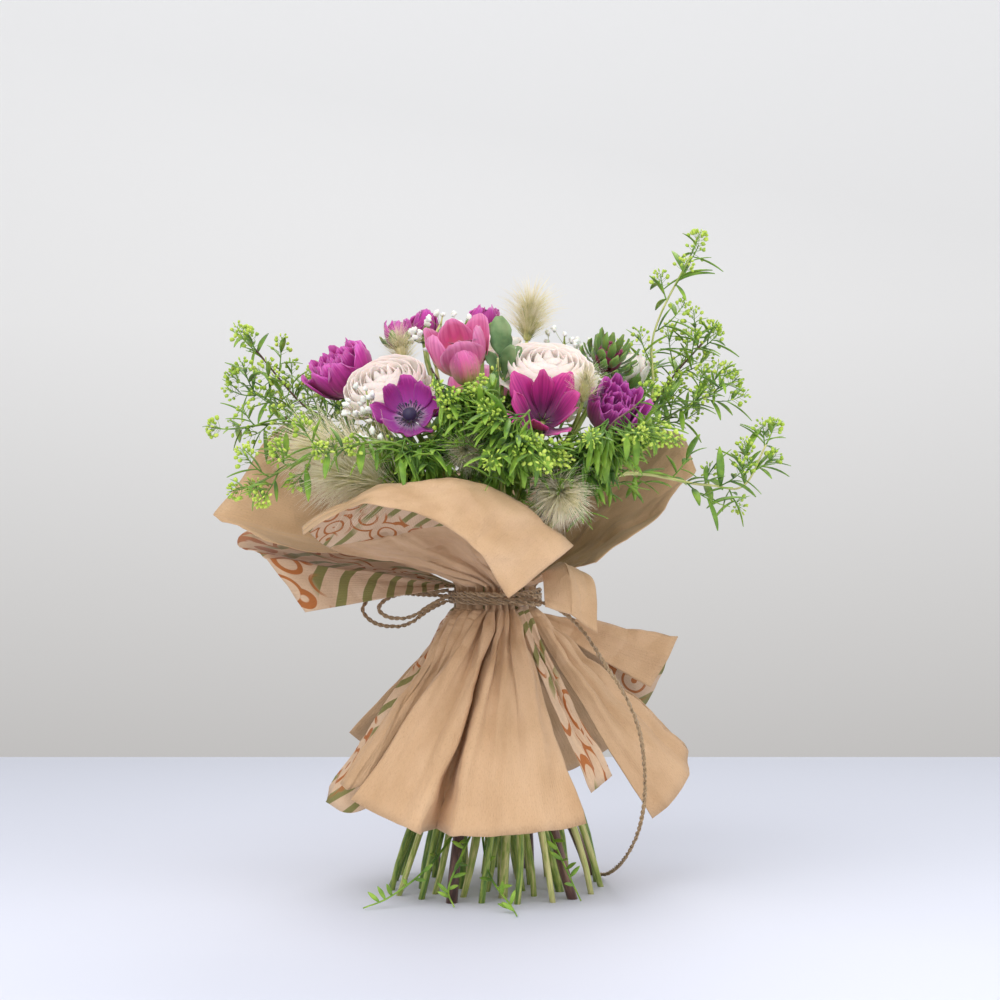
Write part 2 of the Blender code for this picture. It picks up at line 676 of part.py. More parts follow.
def add_sheet(sheet):
    """One paper sheet, from its skirt's edge through the neck to its collar's edge."""
    rails = sheet["collar"] + sheet["skirt"]
    shares = {round(k / (2 * sheet["pleats"]), 4) for k in range(2 * sheet["pleats"] + 1)}
    for rail in rails:
        for share in share_of_corners(rail):
            if min(abs(share - known) for known in shares) > 0.03:
                shares.add(round(share, 4))
    columns = []
    for share in sorted(shares):
        top = neck_point(sheet["arc"], sheet["pleats"], share, NECK_BAND)
        bottom = neck_point(sheet["arc"], sheet["pleats"], share, -NECK_BAND)
        up = leaving_neck(top, rail_point(sheet["collar"][0], share), sheet["breaks"][0], 3)
        up += [rail_point(rail, share) for rail in sheet["collar"][1:]]
        down = leaving_neck(bottom, rail_point(sheet["skirt"][0], share), -sheet["breaks"][1], 3)
        columns.append(down[::-1] + [bottom, top] + up)
    rows = len(columns[0])
    bm = bmesh.new()
    bmesh.ops.create_grid(bm, x_segments=rows - 1, y_segments=len(columns) - 1, size=1)
    for v in bm.verts:
        row = round((v.co.x + 1) / 2 * (rows - 1))
        column = round((v.co.y + 1) / 2 * (len(columns) - 1))
        v.co = columns[column][row]
    obj = add_object(sheet["name"], bm, COLOURS["paper"])
    wall = obj.modifiers.new("wall", "SOLIDIFY")
    wall.thickness = PAPER
    wall.offset = 0


def add_twine_turns():
    """The turns round the neck as one turned ring."""
    height = TWINE_TURNS * TWINE
    inner = NECK_RIDGE + TWINE_GAP + PAPER
    bm = bmesh.new()
    outer = inner + TWINE
    profile = [(inner, -height / 2), (outer, -height / 2), (outer, height / 2), (inner, height / 2)]
    corners = [bm.verts.new((radius, 0, TIE_HEIGHT + z)) for radius, z in profile]
    edges = [bm.edges.new((corners[k], corners[(k + 1) % 4])) for k in range(4)]
    bmesh.ops.spin(
        bm, geom=corners + edges, cent=(0, 0, 0), axis=(0, 0, 1), angle=math.tau, steps=28, use_merge=True
    )
    bmesh.ops.remove_doubles(bm, verts=bm.verts[:], dist=1e-6)
    bmesh.ops.recalc_face_normals(bm, faces=bm.faces[:])
    add_object("twine_turns", bm, COLOURS["twine"])


def add_twine_run(name, corners):
    """A loose run of twine, as a plain round tube."""
    curve = bpy.data.curves.new(name, "CURVE")
    curve.dimensions = "3D"
    curve.bevel_depth = TWINE / 2
    curve.bevel_resolution = 2
    curve.use_fill_caps = True
    route = smooth_route(corners, 3)
    spline = curve.splines.new("POLY")
    spline.points.add(len(route) - 1)
    for point, spot in zip(spline.points, route):
        point.co = (*spot, 1)
    obj = bpy.data.objects.new(name, curve)
    curve.materials.append(material(name, COLOURS["twine"]))
    bpy.context.scene.collection.objects.link(obj)


def taken_room(slots):
    """Spots along every stem and in every head, with radii, that leaves keep off."""
    taken = {}
    for name, _, centre, _, size, _, _ in FLOWERS:
        points, _ = stem_route(slots[name], [centre], 12)
        taken[name] = [(point, 0.003) for point in points] + [(Vector(centre), size)]
    for name, root, tip, size, _ in PLUMES:
        points, _ = stem_route(slots[name], [root], 12)
        taken[name] = [(point, 0.0015) for point in points]
        taken[name] += [(Vector(root).lerp(Vector(tip), share), size) for share in np.linspace(0, 1, 8)]
    for row in SPRAYS + GYPSOPHILA:
        points, _ = stem_route(slots[row[0]], row[1], 8)
        taken[row[0]] = [(point, 0.003) for point in points]
    return taken


clear_scene()
TARGETS = {row[0]: row[2] for row in FLOWERS}
TARGETS.update({row[0]: row[1] for row in PLUMES})
TARGETS.update({row[0]: row[1][0] for row in SPRAYS + GYPSOPHILA + (SAGE,)})
AT_TIE = {row[0]: row[5] for row in FLOWERS}
AT_TIE.update({row[0]: row[4] for row in PLUMES})
AT_TIE.update({row[0]: row[2] for row in SPRAYS + (SAGE,)})
AT_TIE.update({row[0]: GYPSOPHILA_RADIUS for row in GYPSOPHILA})
SLOTS = tie_slots(TARGETS, AT_TIE)
TAKEN = taken_room(SLOTS)
for flower in FLOWERS:
    add_flower(flower, SLOTS)
for plume in PLUMES:
    add_plume(plume, SLOTS)
for spray in SPRAYS:
    add_spray(spray, SLOTS, TAKEN)
for spray in GYPSOPHILA:
    add_gypsophila(spray, SLOTS)
add_sage(SAGE, SLOTS)
for paper_sheet in SHEETS:
    add_sheet(paper_sheet)
add_twine_turns()
for run_name, run_corners in TWINE_RUNS.items():
    add_twine_run(run_name, run_corners)
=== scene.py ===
# %% [markdown]
# # A hand-tied bouquet in kraft paper
#
# A spiral-tied bunch of ranunculus, tulips, an anemone, grasses and green fillers stands on its
# own cut stems, in seven sheets of kraft paper bound with jute twine. The solid model gives every
# piece its place. This script gives each piece its real shape and finish around that frame.

import math
import random

import bmesh
import bpy
from mathutils import Matrix, Vector, noise


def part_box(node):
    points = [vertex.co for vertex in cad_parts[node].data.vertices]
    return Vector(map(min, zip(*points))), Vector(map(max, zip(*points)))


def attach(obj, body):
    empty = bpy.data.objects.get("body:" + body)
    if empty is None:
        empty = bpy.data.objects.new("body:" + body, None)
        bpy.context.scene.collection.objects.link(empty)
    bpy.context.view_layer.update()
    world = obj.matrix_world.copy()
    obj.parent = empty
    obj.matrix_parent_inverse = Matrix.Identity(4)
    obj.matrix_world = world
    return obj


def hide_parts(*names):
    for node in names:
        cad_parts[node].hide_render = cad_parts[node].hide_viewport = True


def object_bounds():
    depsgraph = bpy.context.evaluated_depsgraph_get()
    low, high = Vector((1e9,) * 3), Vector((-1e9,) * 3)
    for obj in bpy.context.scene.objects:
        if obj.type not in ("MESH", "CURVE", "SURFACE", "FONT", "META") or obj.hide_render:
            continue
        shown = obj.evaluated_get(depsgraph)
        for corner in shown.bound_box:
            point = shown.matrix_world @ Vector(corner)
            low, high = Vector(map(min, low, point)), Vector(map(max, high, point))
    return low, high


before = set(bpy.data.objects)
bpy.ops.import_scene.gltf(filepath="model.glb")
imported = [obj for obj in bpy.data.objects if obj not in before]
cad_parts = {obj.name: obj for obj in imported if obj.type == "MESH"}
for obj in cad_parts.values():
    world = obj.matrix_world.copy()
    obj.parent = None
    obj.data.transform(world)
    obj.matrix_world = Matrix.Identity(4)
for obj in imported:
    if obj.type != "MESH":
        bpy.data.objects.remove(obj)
cad_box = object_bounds()
UP = Vector((0, 0, 1))
GOLDEN = math.radians(137.5)  # the turn from one petal to the next on most flowers
print("frame:", len(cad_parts), "nodes,", [round(side, 3) for side in cad_box[1] - cad_box[0]], "m")

# %% [markdown]
# ## Camera
#
# A long lens a metre and a half away sees the bunch level, with hardly any perspective. The
# camera comes first because the loose twine has to lie inside its view.

# %% Camera
eye = bpy.data.cameras.new("eye")
eye.lens = 79.41
eye.sensor_width = 36
camera = bpy.data.objects.new("camera", eye)
camera.location = (0.0034, -1.5, 0.2618)
camera.rotation_euler = (math.radians(90), 0, 0)
bpy.context.scene.collection.objects.link(camera)
bpy.context.scene.camera = camera
print("camera at", [round(part, 3) for part in camera.location])

# %% [markdown]
# ## Growing things need a measure of their own
#
# A petal is darker at its throat than at its rim, and its veins run from one to the other. Every
# vertex therefore carries a small record called `growth`: how far it lies from root to tip, how
# far across, and a chance value that one petal shares. The finishes read it, so colour follows
# the plant however it is bent. The alternative, a colour fixed in space, would cut across petals.


# %% New shapes
def new_shape():
    """An empty bmesh with the growth record on its vertices and a UV map on its faces."""
    bm = bmesh.new()
    bm.loops.layers.uv.new("UVMap")
    return bm, bm.verts.layers.float_color.new("growth")


def finished(name, bm, finishes, node):
    """Makes the bmesh a smooth piece on the bouquet's one body, standing for its solid."""
    mesh = bpy.data.meshes.new(name)
    bm.to_mesh(mesh)
    bm.free()
    mesh.shade_smooth()
    for finish in finishes:
        mesh.materials.append(finish)
    piece = bpy.data.objects.new(name, mesh)
    bpy.context.scene.collection.objects.link(piece)
    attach(piece, "root")
    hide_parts(node)
    print(f"{name}: {len(mesh.polygons)} faces")
    return piece


def faces_of(verts):
    return {face for vert in verts for face in vert.link_faces}


def stamp(bm, small, place):
    """Adds a copy of a small mesh, such as one leaf, at its place."""
    copy = small.copy()
    copy.transform(place)
    bm.from_mesh(copy)
    bpy.data.meshes.remove(copy)


def kept_small(name, bm):
    """Keeps a small shape as a mesh, for stamp to copy."""
    mesh = bpy.data.meshes.new(name)
    bm.to_mesh(mesh)
    bm.free()
    return mesh


# %% [markdown]
# ## Lines that bend
#
# Stems, shoots and twine are all lines that bend smoothly. A Hermite curve takes two points and
# the way the line leaves and reaches them, which suits a stem that has to stand straight in the
# tie. A tube is then extruded ring by ring along the points, so that it can taper.


# %% Curves and tubes
def hermite(start, end, leaving, arriving, count):
    """Points of a smooth curve, start included and end left out."""
    points = []
    for k in range(count):
        t = k / count
        points.append(
            start * (2 * t**3 - 3 * t**2 + 1)
            + leaving * (t**3 - 2 * t**2 + t)
            + end * (3 * t**2 - 2 * t**3)
            + arriving * (t**3 - t**2)
        )
    return points


def smooth_route(corners, count):
    """A curve through the corners, with count points to each span."""
    corners = [Vector(corner) for corner in corners]
    slopes = [corners[1] - corners[0]]
    slopes += [(after - before) / 2 for before, after in zip(corners, corners[2:])]
    slopes.append(corners[-1] - corners[-2])
    points = []
    for k in range(len(corners) - 1):
        points += hermite(corners[k], corners[k + 1], slopes[k], slopes[k + 1], count)
    return points + [corners[-1]]


def crossings(points):
    """Two directions across the line at each point, carried along it without twist."""
    across = Vector((1, 0, 0)) if abs((points[1] - points[0]).normalized().x) < 0.9 else UP
    made = []
    for k in range(len(points)):
        ahead = (points[min(k + 1, len(points) - 1)] - points[max(k - 1, 0)]).normalized()
        across = (across - ahead * across.dot(ahead)).normalized()
        made.append((across, ahead.cross(across)))
    return made


def add_tube(bm, growth, points, radii, sides=7, finish=0, chance=0.5):
    """A closed tube along the points, extruded from a short cone, with a radius for each point."""
    made = bmesh.ops.create_cone(bm, cap_ends=True, segments=sides, radius1=1, radius2=1, depth=2)["verts"]
    spoke = {v: round(math.atan2(v.co.y, v.co.x) / math.tau * sides) % sides for v in made}
    upper = {v for v in made if v.co.z > 0}
    top = next(face for face in faces_of(made) if len(face.verts) == sides and upper.issuperset(face.verts))
    cross = crossings(points)

    def move(v, k, row):
        first, second = cross[row]
        turn = k * math.tau / sides
        v.co = points[row] + (first * math.cos(turn) + second * math.sin(turn)) * radii[row]
        v[growth] = (row / (len(points) - 1), k / sides, chance, 1)

    for v in made:
        move(v, spoke[v], 1 if v in upper else 0)
    order = [spoke[v] for v in top.verts]
    everything = set(made)
    for row in range(2, len(points)):
        top = bmesh.ops.extrude_discrete_faces(bm, faces=[top])["faces"][0]
        for v, k in zip(top.verts, order):
            move(v, k, row)
        everything.update(top.verts)
    for face in faces_of(everything):
        face.material_index = finish
    return everything


# %% [markdown]
# ## The twine's loose runs
#
# Three runs of jute leave the turns round the neck: two short loops and one tail that falls to
# the table. A jute twine is two strands laid round each other, with stray fibres. A plain tube
# looks like wire, so each strand is its own thin tube on a helix round the run's middle line.

# %% Twine routes
TWINE = 0.003
STRANDS = 2
LAY = 0.0085  # length of one turn of the strands
STRAND_RADIUS = 0.29  # of one strand, as a share of the twine's diameter, as are the next two
STRAND_END = 0.20
STRAND_REACH = 0.22  # from the twine's middle line to the strand's
TWINE_RUNS = {
    "twine_loop_outer": (
        (-0.0321, -0.0055, 0.1935), (-0.044, -0.012, 0.188), (-0.060, -0.022, 0.178), (-0.078, -0.030, 0.179),
        (-0.088, -0.030, 0.188), (-0.082, -0.026, 0.197), (-0.066, -0.016, 0.199), (-0.048, -0.004, 0.1975),
        (-0.0324, 0.0028, 0.1965),
    ),
    "twine_loop_inner": (
        (-0.0300, -0.0120, 0.1975), (-0.042, -0.022, 0.192), (-0.056, -0.032, 0.184), (-0.070, -0.038, 0.184),
        (-0.077, -0.038, 0.190), (-0.070, -0.032, 0.197), (-0.056, -0.026, 0.2000), (-0.044, -0.0165, 0.1995),
        (-0.0312, -0.0088, 0.2008),
    ),
    "twine_tail": (
        (0.0214, -0.0243, 0.196), (0.034, -0.040, 0.193), (0.048, -0.056, 0.186), (0.060, -0.066, 0.173),
        (0.071, -0.070, 0.156), (0.084, -0.068, 0.136), (0.094, -0.062, 0.112), (0.098, -0.056, 0.086),
        (0.098, -0.050, 0.062), (0.094, -0.040, 0.040), (0.086, -0.020, 0.020), (0.078, 0.008, 0.0070),
        (0.072, 0.034, 0.0018), (0.066, 0.052, 0.0020),
    ),
}


def line_length(points):
    return sum((b - a).length for a, b in zip(points, points[1:]))


def even_points(points, step):
    """The same line with points an equal step apart."""
    count = max(2, round(line_length(points) / step))
    wanted = line_length(points) / count
    made, gone = [points[0]], 0.0
    for a, b in zip(points, points[1:]):
        span = (b - a).length
        while gone + span >= wanted * len(made) and len(made) < count:
            made.append(a.lerp(b, (wanted * len(made) - gone) / span))
        gone += span
    return made + [points[-1]]


def add_strands(bm, growth, points, diameter, sides=6):
    """Strands laid round the line, which is turned into tubes that touch at its middle."""
    cross = crossings(points)
    gone = 0.0
    turns = []
    for k in range(len(points)):
        gone += (points[k] - points[k - 1]).length if k else 0
        turns.append(gone / LAY * math.tau)
    for strand in range(STRANDS):
        line = []
        for point, (first, second), turn in zip(points, cross, turns):
            angle = turn + strand * math.tau / STRANDS
            out = first * math.cos(angle) + second * math.sin(angle)
            line.append(point + out * diameter * STRAND_REACH)
        radii = [diameter * STRAND_RADIUS] * len(line)
        radii[0] = radii[-1] = diameter * STRAND_END
        add_tube(bm, growth, line, radii, sides, 0, strand / STRANDS)


FIBRE_RADII = (8e-5, 7e-5, 3e-5)


def add_fibres(bm, growth, points, count, chance):
    """Stray fibres that stand off the twine."""
    for _ in range(count):
        spot = points[chance.randrange(2, len(points) - 2)]
        out = Vector([chance.uniform(-1, 1) for _ in range(3)]).normalized() * TWINE
        fibre = [spot + out * 0.3, spot + out * 0.65, spot + out * 0.9 - UP * 0.0003]
        add_tube(bm, growth, fibre, FIBRE_RADII, 3)


# %% [markdown]
# ## A shader helper
#
# Each finish below starts from a Principled shader. The helper adds a node and wires it in one
# line, so that a finish reads as a short recipe: where the pattern sits, what it looks like, and
# which sockets it drives.


# %% Finishes' helper
def start_finish(name, roughness=0.6, sheen=0.0, soft=0.0):
    """A new finish, with its shader and a function that adds wired nodes."""
    made = bpy.data.materials.new(name)
    made.use_nodes = True
    tree = made.node_tree
    shader = tree.nodes["Principled BSDF"]
    shader.inputs["Roughness"].default_value = roughness
    shader.inputs["Sheen Weight"].default_value = sheen
    shader.inputs["Subsurface Weight"].default_value = soft
    shader.inputs["Subsurface Scale"].default_value = 0.004

    def add(kind, inputs, **settings):
        node = tree.nodes.new("ShaderNode" + kind)
        for key, value in settings.items():
            setattr(node, key, value)
        for socket, value in inputs.items():
            if isinstance(value, bpy.types.NodeSocket):
                tree.links.new(value, node.inputs[socket])
            else:
                node.inputs[socket].default_value = value
        return node

    def wear(colour, height=None, strength=0.3, distance=0.001):
        """Wires the colour and a bump height to the shader."""
        tree.links.new(colour, shader.inputs["Base Color"])
        if height is not None:
            bump = add("Bump", {"Strength": strength, "Distance": distance, "Height": height})
            tree.links.new(bump.outputs[0], shader.inputs["Normal"])
        return made

    return add, wear


def ramp(add, factor, stops):
    """A colour ramp, from (place, (red, green, blue)) stops."""
    node = add("ValToRGB", {"Fac": factor})
    band = node.color_ramp
    while len(band.elements) < len(stops):
        band.elements.new(0.5)
    for element, (place, colour) in zip(band.elements, stops):
        element.position = place
        element.color = (*colour, 1)
    return node.outputs[0]


def blend_in(add, factor, first, second, how="MIX"):
    """Mixes a second colour into the first."""
    node = add("Mix", {"Factor": factor}, data_type="RGBA", blend_type=how)
    for socket, value in zip((node.inputs[6], node.inputs[7]), (first, second)):
        if isinstance(value, bpy.types.NodeSocket):
            node.id_data.links.new(value, socket)
        else:
            socket.default_value = (*value, 1)
    return node.outputs[2]


# %% [markdown]
# ### Jute
#
# Jute fibres run along each strand and catch the light in pale and dark streaks. A noise that is
# long in the strand's own direction gives the streaks, which a plain speckle wouldn't.


# %% Jute finish
def jute_finish():
    add, wear = start_finish("jute", 0.85, 0.3)
    grown = add("Attribute", {}, attribute_name="growth")
    place = add("Mapping", {"Vector": grown.outputs["Vector"], "Scale": (260, 9, 1)})
    streaks = add("TexNoise", {"Vector": place.outputs[0], "Scale": 1.0, "Detail": 4}).outputs[0]
    stops = [(0.3, (0.20, 0.12, 0.055)), (0.52, (0.42, 0.28, 0.15)), (0.75, (0.62, 0.47, 0.30))]
    return wear(ramp(add, streaks, stops), streaks, 0.7, 0.0004)


JUTE = jute_finish()
print("finish:", JUTE.name)

# %% [markdown]
# Each run is made along its route, and its length is printed. The loops go back into the turns; the tail ends
# bare on the table, as cut twine does.

# %% Twine runs
for run_name, corners in TWINE_RUNS.items():
    middle = even_points(smooth_route(corners, 12), 0.0009)
    bm, growth = new_shape()
    add_strands(bm, growth, middle, TWINE)
    add_fibres(bm, growth, middle, len(middle) // 5, random.Random(run_name))
    run = finished(run_name + "_jute", bm, [JUTE], run_name)
    path = even_points(middle, 0.004)
    print(run_name, "is", round(line_length(middle), 3), "m long")

# %% [markdown]
# ## The turns round the neck
#
# The twine passes a little over four times round the gathered paper, pulled tight, a little
# uneven. The turns are one helix, made in the same way as the loose runs.

# %% Twine turns
TIE_HEIGHT = 0.196
NECK_RIDGE = 0.0278
turns_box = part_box("twine_turns")
wound = []
TURN_STEPS = 96
WOUND_TURNS = 4.4
FIRST_TURN = -1.2  # where the helix starts, in radians
for k in range(int(TURN_STEPS * WOUND_TURNS) + 1):
    angle = k / TURN_STEPS * math.tau + FIRST_TURN
    rise = (k / (TURN_STEPS * WOUND_TURNS) - 0.5) * (turns_box[1].z - turns_box[0].z - TWINE)
    wander = noise.noise((math.cos(angle) * 1.5, math.sin(angle) * 1.5, k / TURN_STEPS)) * 0.0012
    reach = turns_box[1].x - TWINE * 0.45 + noise.noise((angle * 1.7, 3.0, 0.0)) * 0.0004
    wound.append(Vector((reach * math.cos(angle), reach * math.sin(angle), TIE_HEIGHT + rise + wander)))
bm, growth = new_shape()
add_strands(bm, growth, even_points(wound, 0.0011), TWINE * 1.05)
add_fibres(bm, growth, wound, 60, random.Random("turns"))
finished("twine_turns_jute", bm, [JUTE], "twine_turns")

# %% [markdown]
# ## Kraft paper
#
# Seven sheets are gathered in the tie. Each runs from its skirt's edge, through the neck, to its
# collar's edge. Cloth simulation would drape them too softly: paper bends one way at a time and
# keeps crisp folds that spread from the neck. So each sheet is a fine grid laid between the same
# rails as its solid, and folds are then pressed into it along its own lines.

# %% Sheets' rails
PAPER = 0.0005
NECK_BAND = 0.007
NECK_VALLEY = 0.0230
# Each sheet: its name, its arc of the neck in degrees, how far it runs straight above and below the
# neck, its pleats, its collar's rails and its skirt's rail.
SHEETS = (
    (
        "paper_front", (-107, -57), (0.010, 0.005), 5,
        (
            (
                (-0.106, -0.096, 0.232), (-0.078, -0.090, 0.240), (-0.040, -0.082, 0.246),
                (0.0, -0.074, 0.238), (0.036, -0.074, 0.222),
            ),
            (
                (-0.121, -0.112, 0.246), (-0.098, -0.116, 0.262), (-0.069, -0.120, 0.272),
                (-0.038, -0.122, 0.276), (-0.006, -0.120, 0.273), (0.018, -0.116, 0.259),
                (0.050, -0.106, 0.233),
            ),
            (
                (-0.120, -0.121, 0.240), (-0.100, -0.132, 0.256), (-0.066, -0.140, 0.259),
                (-0.030, -0.146, 0.248), (-0.006, -0.148, 0.226), (0.010, -0.146, 0.202),
            ),
        ),
        (
            (
                (-0.092, -0.080, 0.068), (-0.050, -0.104, 0.050), (-0.038, -0.076, 0.050),
                (-0.026, -0.104, 0.048), (0.016, -0.108, 0.050), (0.057, -0.090, 0.053),
            ),
        ),
    ),
    (
        "paper_right_small", (-54, -30), (0.004, 0.009), 2,
        (
            ((0.030, -0.078, 0.214), (0.046, -0.078, 0.222), (0.062, -0.068, 0.214)),
            ((0.032, -0.100, 0.194), (0.050, -0.104, 0.190), (0.066, -0.092, 0.177)),
        ),
        (((0.062, -0.074, 0.072), (0.076, -0.052, 0.080)),),
    ),
    (
        "paper_right", (-27, 27), (0.008, 0.005), 4,
        (
            (
                (0.066, -0.052, 0.222), (0.100, -0.034, 0.246), (0.135, -0.006, 0.284),
                (0.128, 0.026, 0.308), (0.108, 0.058, 0.314),
            ),
        ),
        (
            (
                (0.104, -0.036, 0.050), (0.116, -0.028, 0.058), (0.130, -0.012, 0.076),
                (0.131, 0.002, 0.090), (0.104, 0.012, 0.116),
            ),
        ),
    ),
    (
        "paper_back_right", (30, 92), (0.013, 0.008), 5,
        (
            (
                (0.114, 0.066, 0.300), (0.102, 0.096, 0.296), (0.070, 0.128, 0.282),
                (0.034, 0.144, 0.292), (0.004, 0.138, 0.276),
            ),
        ),
        (
            (
                (0.108, 0.028, 0.132), (0.128, 0.044, 0.166), (0.104, 0.080, 0.110),
                (0.060, 0.106, 0.066), (0.006, 0.112, 0.058),
            ),
        ),
    ),
    (
        "paper_back", (95, 150), (0.008, 0.005), 4,
        (
            (
                (-0.006, 0.146, 0.290), (-0.052, 0.147, 0.276), (-0.092, 0.124, 0.302),
                (-0.116, 0.104, 0.292),
            ),
        ),
        (
            (
                (-0.010, 0.110, 0.060), (-0.056, 0.094, 0.066), (-0.086, 0.056, 0.086),
                (-0.100, 0.034, 0.098),
            ),
        ),
    ),
    (
        "paper_left_under", (153, 189), (0.002, 0.003), 3,
        (
            (
                (-0.150, 0.040, 0.252), (-0.172, -0.024, 0.236), (-0.146, -0.088, 0.226),
                (-0.121, -0.084, 0.190),
            ),
        ),
        (
            (
                (-0.092, 0.006, 0.096), (-0.112, -0.040, 0.062), (-0.096, -0.052, 0.056),
                (-0.080, -0.052, 0.060),
            ),
        ),
    ),
    (
        "paper_left", (192, 250), (0.010, 0.007), 4,
        (
            (
                (-0.142, 0.046, 0.318), (-0.156, 0.0, 0.303), (-0.169, -0.030, 0.276),
                (-0.184, -0.055, 0.254), (-0.146, -0.100, 0.236),
            ),
        ),
        (((-0.101, -0.056, 0.076), (-0.096, -0.066, 0.073), (-0.058, -0.050, 0.084)),),
    ),
)
# How far the pressed folds stand out above and below the neck, then which side carries the print
# above and below it: "outer" faces away from the stems and "inner" towards them, "flap" is the
# folded part of the collar, and "edge" is the skirt's inner side along its hem.
FOLDS = {
    "paper_front": (0.0072, 0.0060, "flap", None),
    "paper_right_small": (0.0012, 0.0030, None, "outer"),
    "paper_right": (0.0030, 0.0040, None, None),
    "paper_back_right": (0.0040, 0.0045, "outer", "edge"),
    "paper_back": (0.0040, 0.0045, None, None),
    "paper_left_under": (0.0022, 0.0030, "inner", "outer"),
    "paper_left": (0.0034, 0.0026, None, None),
}
FLAT_SIZES = {
    "paper_front": (0.155, 0.34),
    "paper_right_small": (0.040, 0.19),
    "paper_right": (0.10, 0.27),
    "paper_back_right": (0.14, 0.31),
    "paper_back": (0.11, 0.30),
    "paper_left_under": (0.095, 0.29),
    "paper_left": (0.105, 0.29),
}

# %% [markdown]
# A rail bends gently where the paper rolls and turns sharply at a cut corner. The next helpers
# tell the two apart by the angle, and read a point anywhere along a rail.


# %% Rails
SHARP = math.radians(48)  # a turn above this is a cut corner or a hard fold


def measured_rail(rail):
    """The rail's corners, the share of its length at each, and the way it runs at each."""
    corners = [Vector(corner) for corner in rail]
    steps = [b - a for a, b in zip(corners, corners[1:])]
    whole = sum(step.length for step in steps)
    shares = [sum(step.length for step in steps[:k]) / whole for k in range(len(corners))]
    leaving = [step.normalized() for step in steps]
    arriving = [step.normalized() for step in steps]
    for k in range(1, len(steps)):
        if steps[k - 1].angle(steps[k]) < SHARP:
            shared = (leaving[k] + arriving[k - 1]).normalized()
            leaving[k] = shared
            arriving[k - 1] = shared
    return corners, shares, leaving, arriving


def on_rail(measured, share):
    corners, shares, leaving, arriving = measured
    for k in range(len(corners) - 1):
        if share <= shares[k + 1] + 1e-9:
            t = (share - shares[k]) / (shares[k + 1] - shares[k])
            span = (corners[k + 1] - corners[k]).length
            return (
                corners[k] * (2 * t**3 - 3 * t**2 + 1)
                + leaving[k] * span * (t**3 - 2 * t**2 + t)
                + corners[k + 1] * (3 * t**2 - 2 * t**3)
                + arriving[k] * span * (t**3 - t**2)
            )
    return corners[-1]


def on_neck(arc, pleats, share, height):
    """A point of the gathered neck, where the sheet zigzags between a valley and a ridge."""
    angle = math.radians(arc[0] + (arc[1] - arc[0]) * share)
    phase = share * pleats
    ridge = 1 - abs(2 * (phase - math.floor(phase)) - 1)
    radius = NECK_VALLEY + (NECK_RIDGE - NECK_VALLEY) * ridge
    return Vector((radius * math.cos(angle), radius * math.sin(angle), TIE_HEIGHT + height))


# %% [markdown]
# One column of the grid leaves the neck straight up, or down, and bends out to its rails. Where a
# sheet has more than one rail above the neck, its collar is folded over: the second rail is the
# crest and the third the hem of the flap.


# %% Columns
def column_from(neck, stops, rise, count):
    """Points from the neck through the rails' points, with how far out each lies."""
    turn = neck + UP * rise
    leaving = (turn - neck) * 2
    points = []
    for k, stop in enumerate(stops):
        before = neck if k == 0 else stops[k - 1]
        if k + 1 < len(stops):
            onwards = (stops[k + 1] - stop).normalized() + (stop - before).normalized()
            arriving = onwards.normalized() * (stops[k + 1] - stop).length * 0.9
        else:
            arriving = (stop - turn) * 2 if k == 0 else (stop - before)
        steps = count if k == 0 else max(6, count // 2)
        points += [(point, k) for point in hermite(before, stop, leaving, arriving, steps)]
        leaving = arriving
    return points + [(stops[-1], len(stops) - 1)]


ROWS = 38  # rows of the grid from the neck to the first rail


# %% [markdown]
# Gathered paper keeps ridges that fan out from the neck, crisp where they were pinched, and small
# facets where hands pressed it. Both come from noise that is folded at zero, because a plain wave
# would look like cloth. The front skirt also has one deep pleat.


# %% Folds
RIDGES_PER_PLEAT = 0.62
BROAD_FACETS = (24, 0.0052)  # how close the facets lie, and how deep they are
FINE_FACETS = (58, 0.0014)
DEEP_PLEAT = 0.37  # where the front skirt folds in deepest, as a share of its width
DEEP_PLEAT_WIDTH = 0.055
DEEP_PLEAT_DEPTH = 1.9


def fold_height(share, out, pleats, seed):
    """Ridges that spread from the neck, crisp along their crests, some 1.5 from crest to valley."""
    wander = noise.noise((share * 3.1, out * 1.3, seed)) * 0.9
    main = 1 - abs(math.sin(math.pi * (share * pleats * RIDGES_PER_PLEAT + wander + 0.25))) ** 0.8
    fine = 1 - abs(noise.noise((share * pleats * 2.4, out * 1.6, seed + 7))) * 2.2
    return main * 1.15 + fine * 0.25 - 0.5


def crumple(spot, seed):
    """Small facets, as where paper has been handled."""
    first = abs(noise.noise(spot * BROAD_FACETS[0] + Vector((seed, 0, 0))))
    second = abs(noise.noise(spot * FINE_FACETS[0] + Vector((0, seed, 0))))
    return BROAD_FACETS[1] * first + FINE_FACETS[1] * second


def folded_out(name, row_at, neck_row, rows, rail):
    """How far out from the neck a row lies, from 0 to 1, and how far its folds stand out there."""
    fold_up, fold_down, _, _ = FOLDS[name]
    if row_at < neck_row:
        out = 1 - row_at / (neck_row - 1)
        return out, fold_down, math.sin(min(1, out * 1.7) * math.pi / 2) * (1 - 0.35 * out)
    out = (row_at - neck_row) / (rows - 1 - neck_row)
    level = math.sin(min(1, out * 1.9) * math.pi / 2) * (1 - 0.45 * out)
    return out, fold_up, level * (0.25 if name == "paper_front" and rail >= 1 else 1)


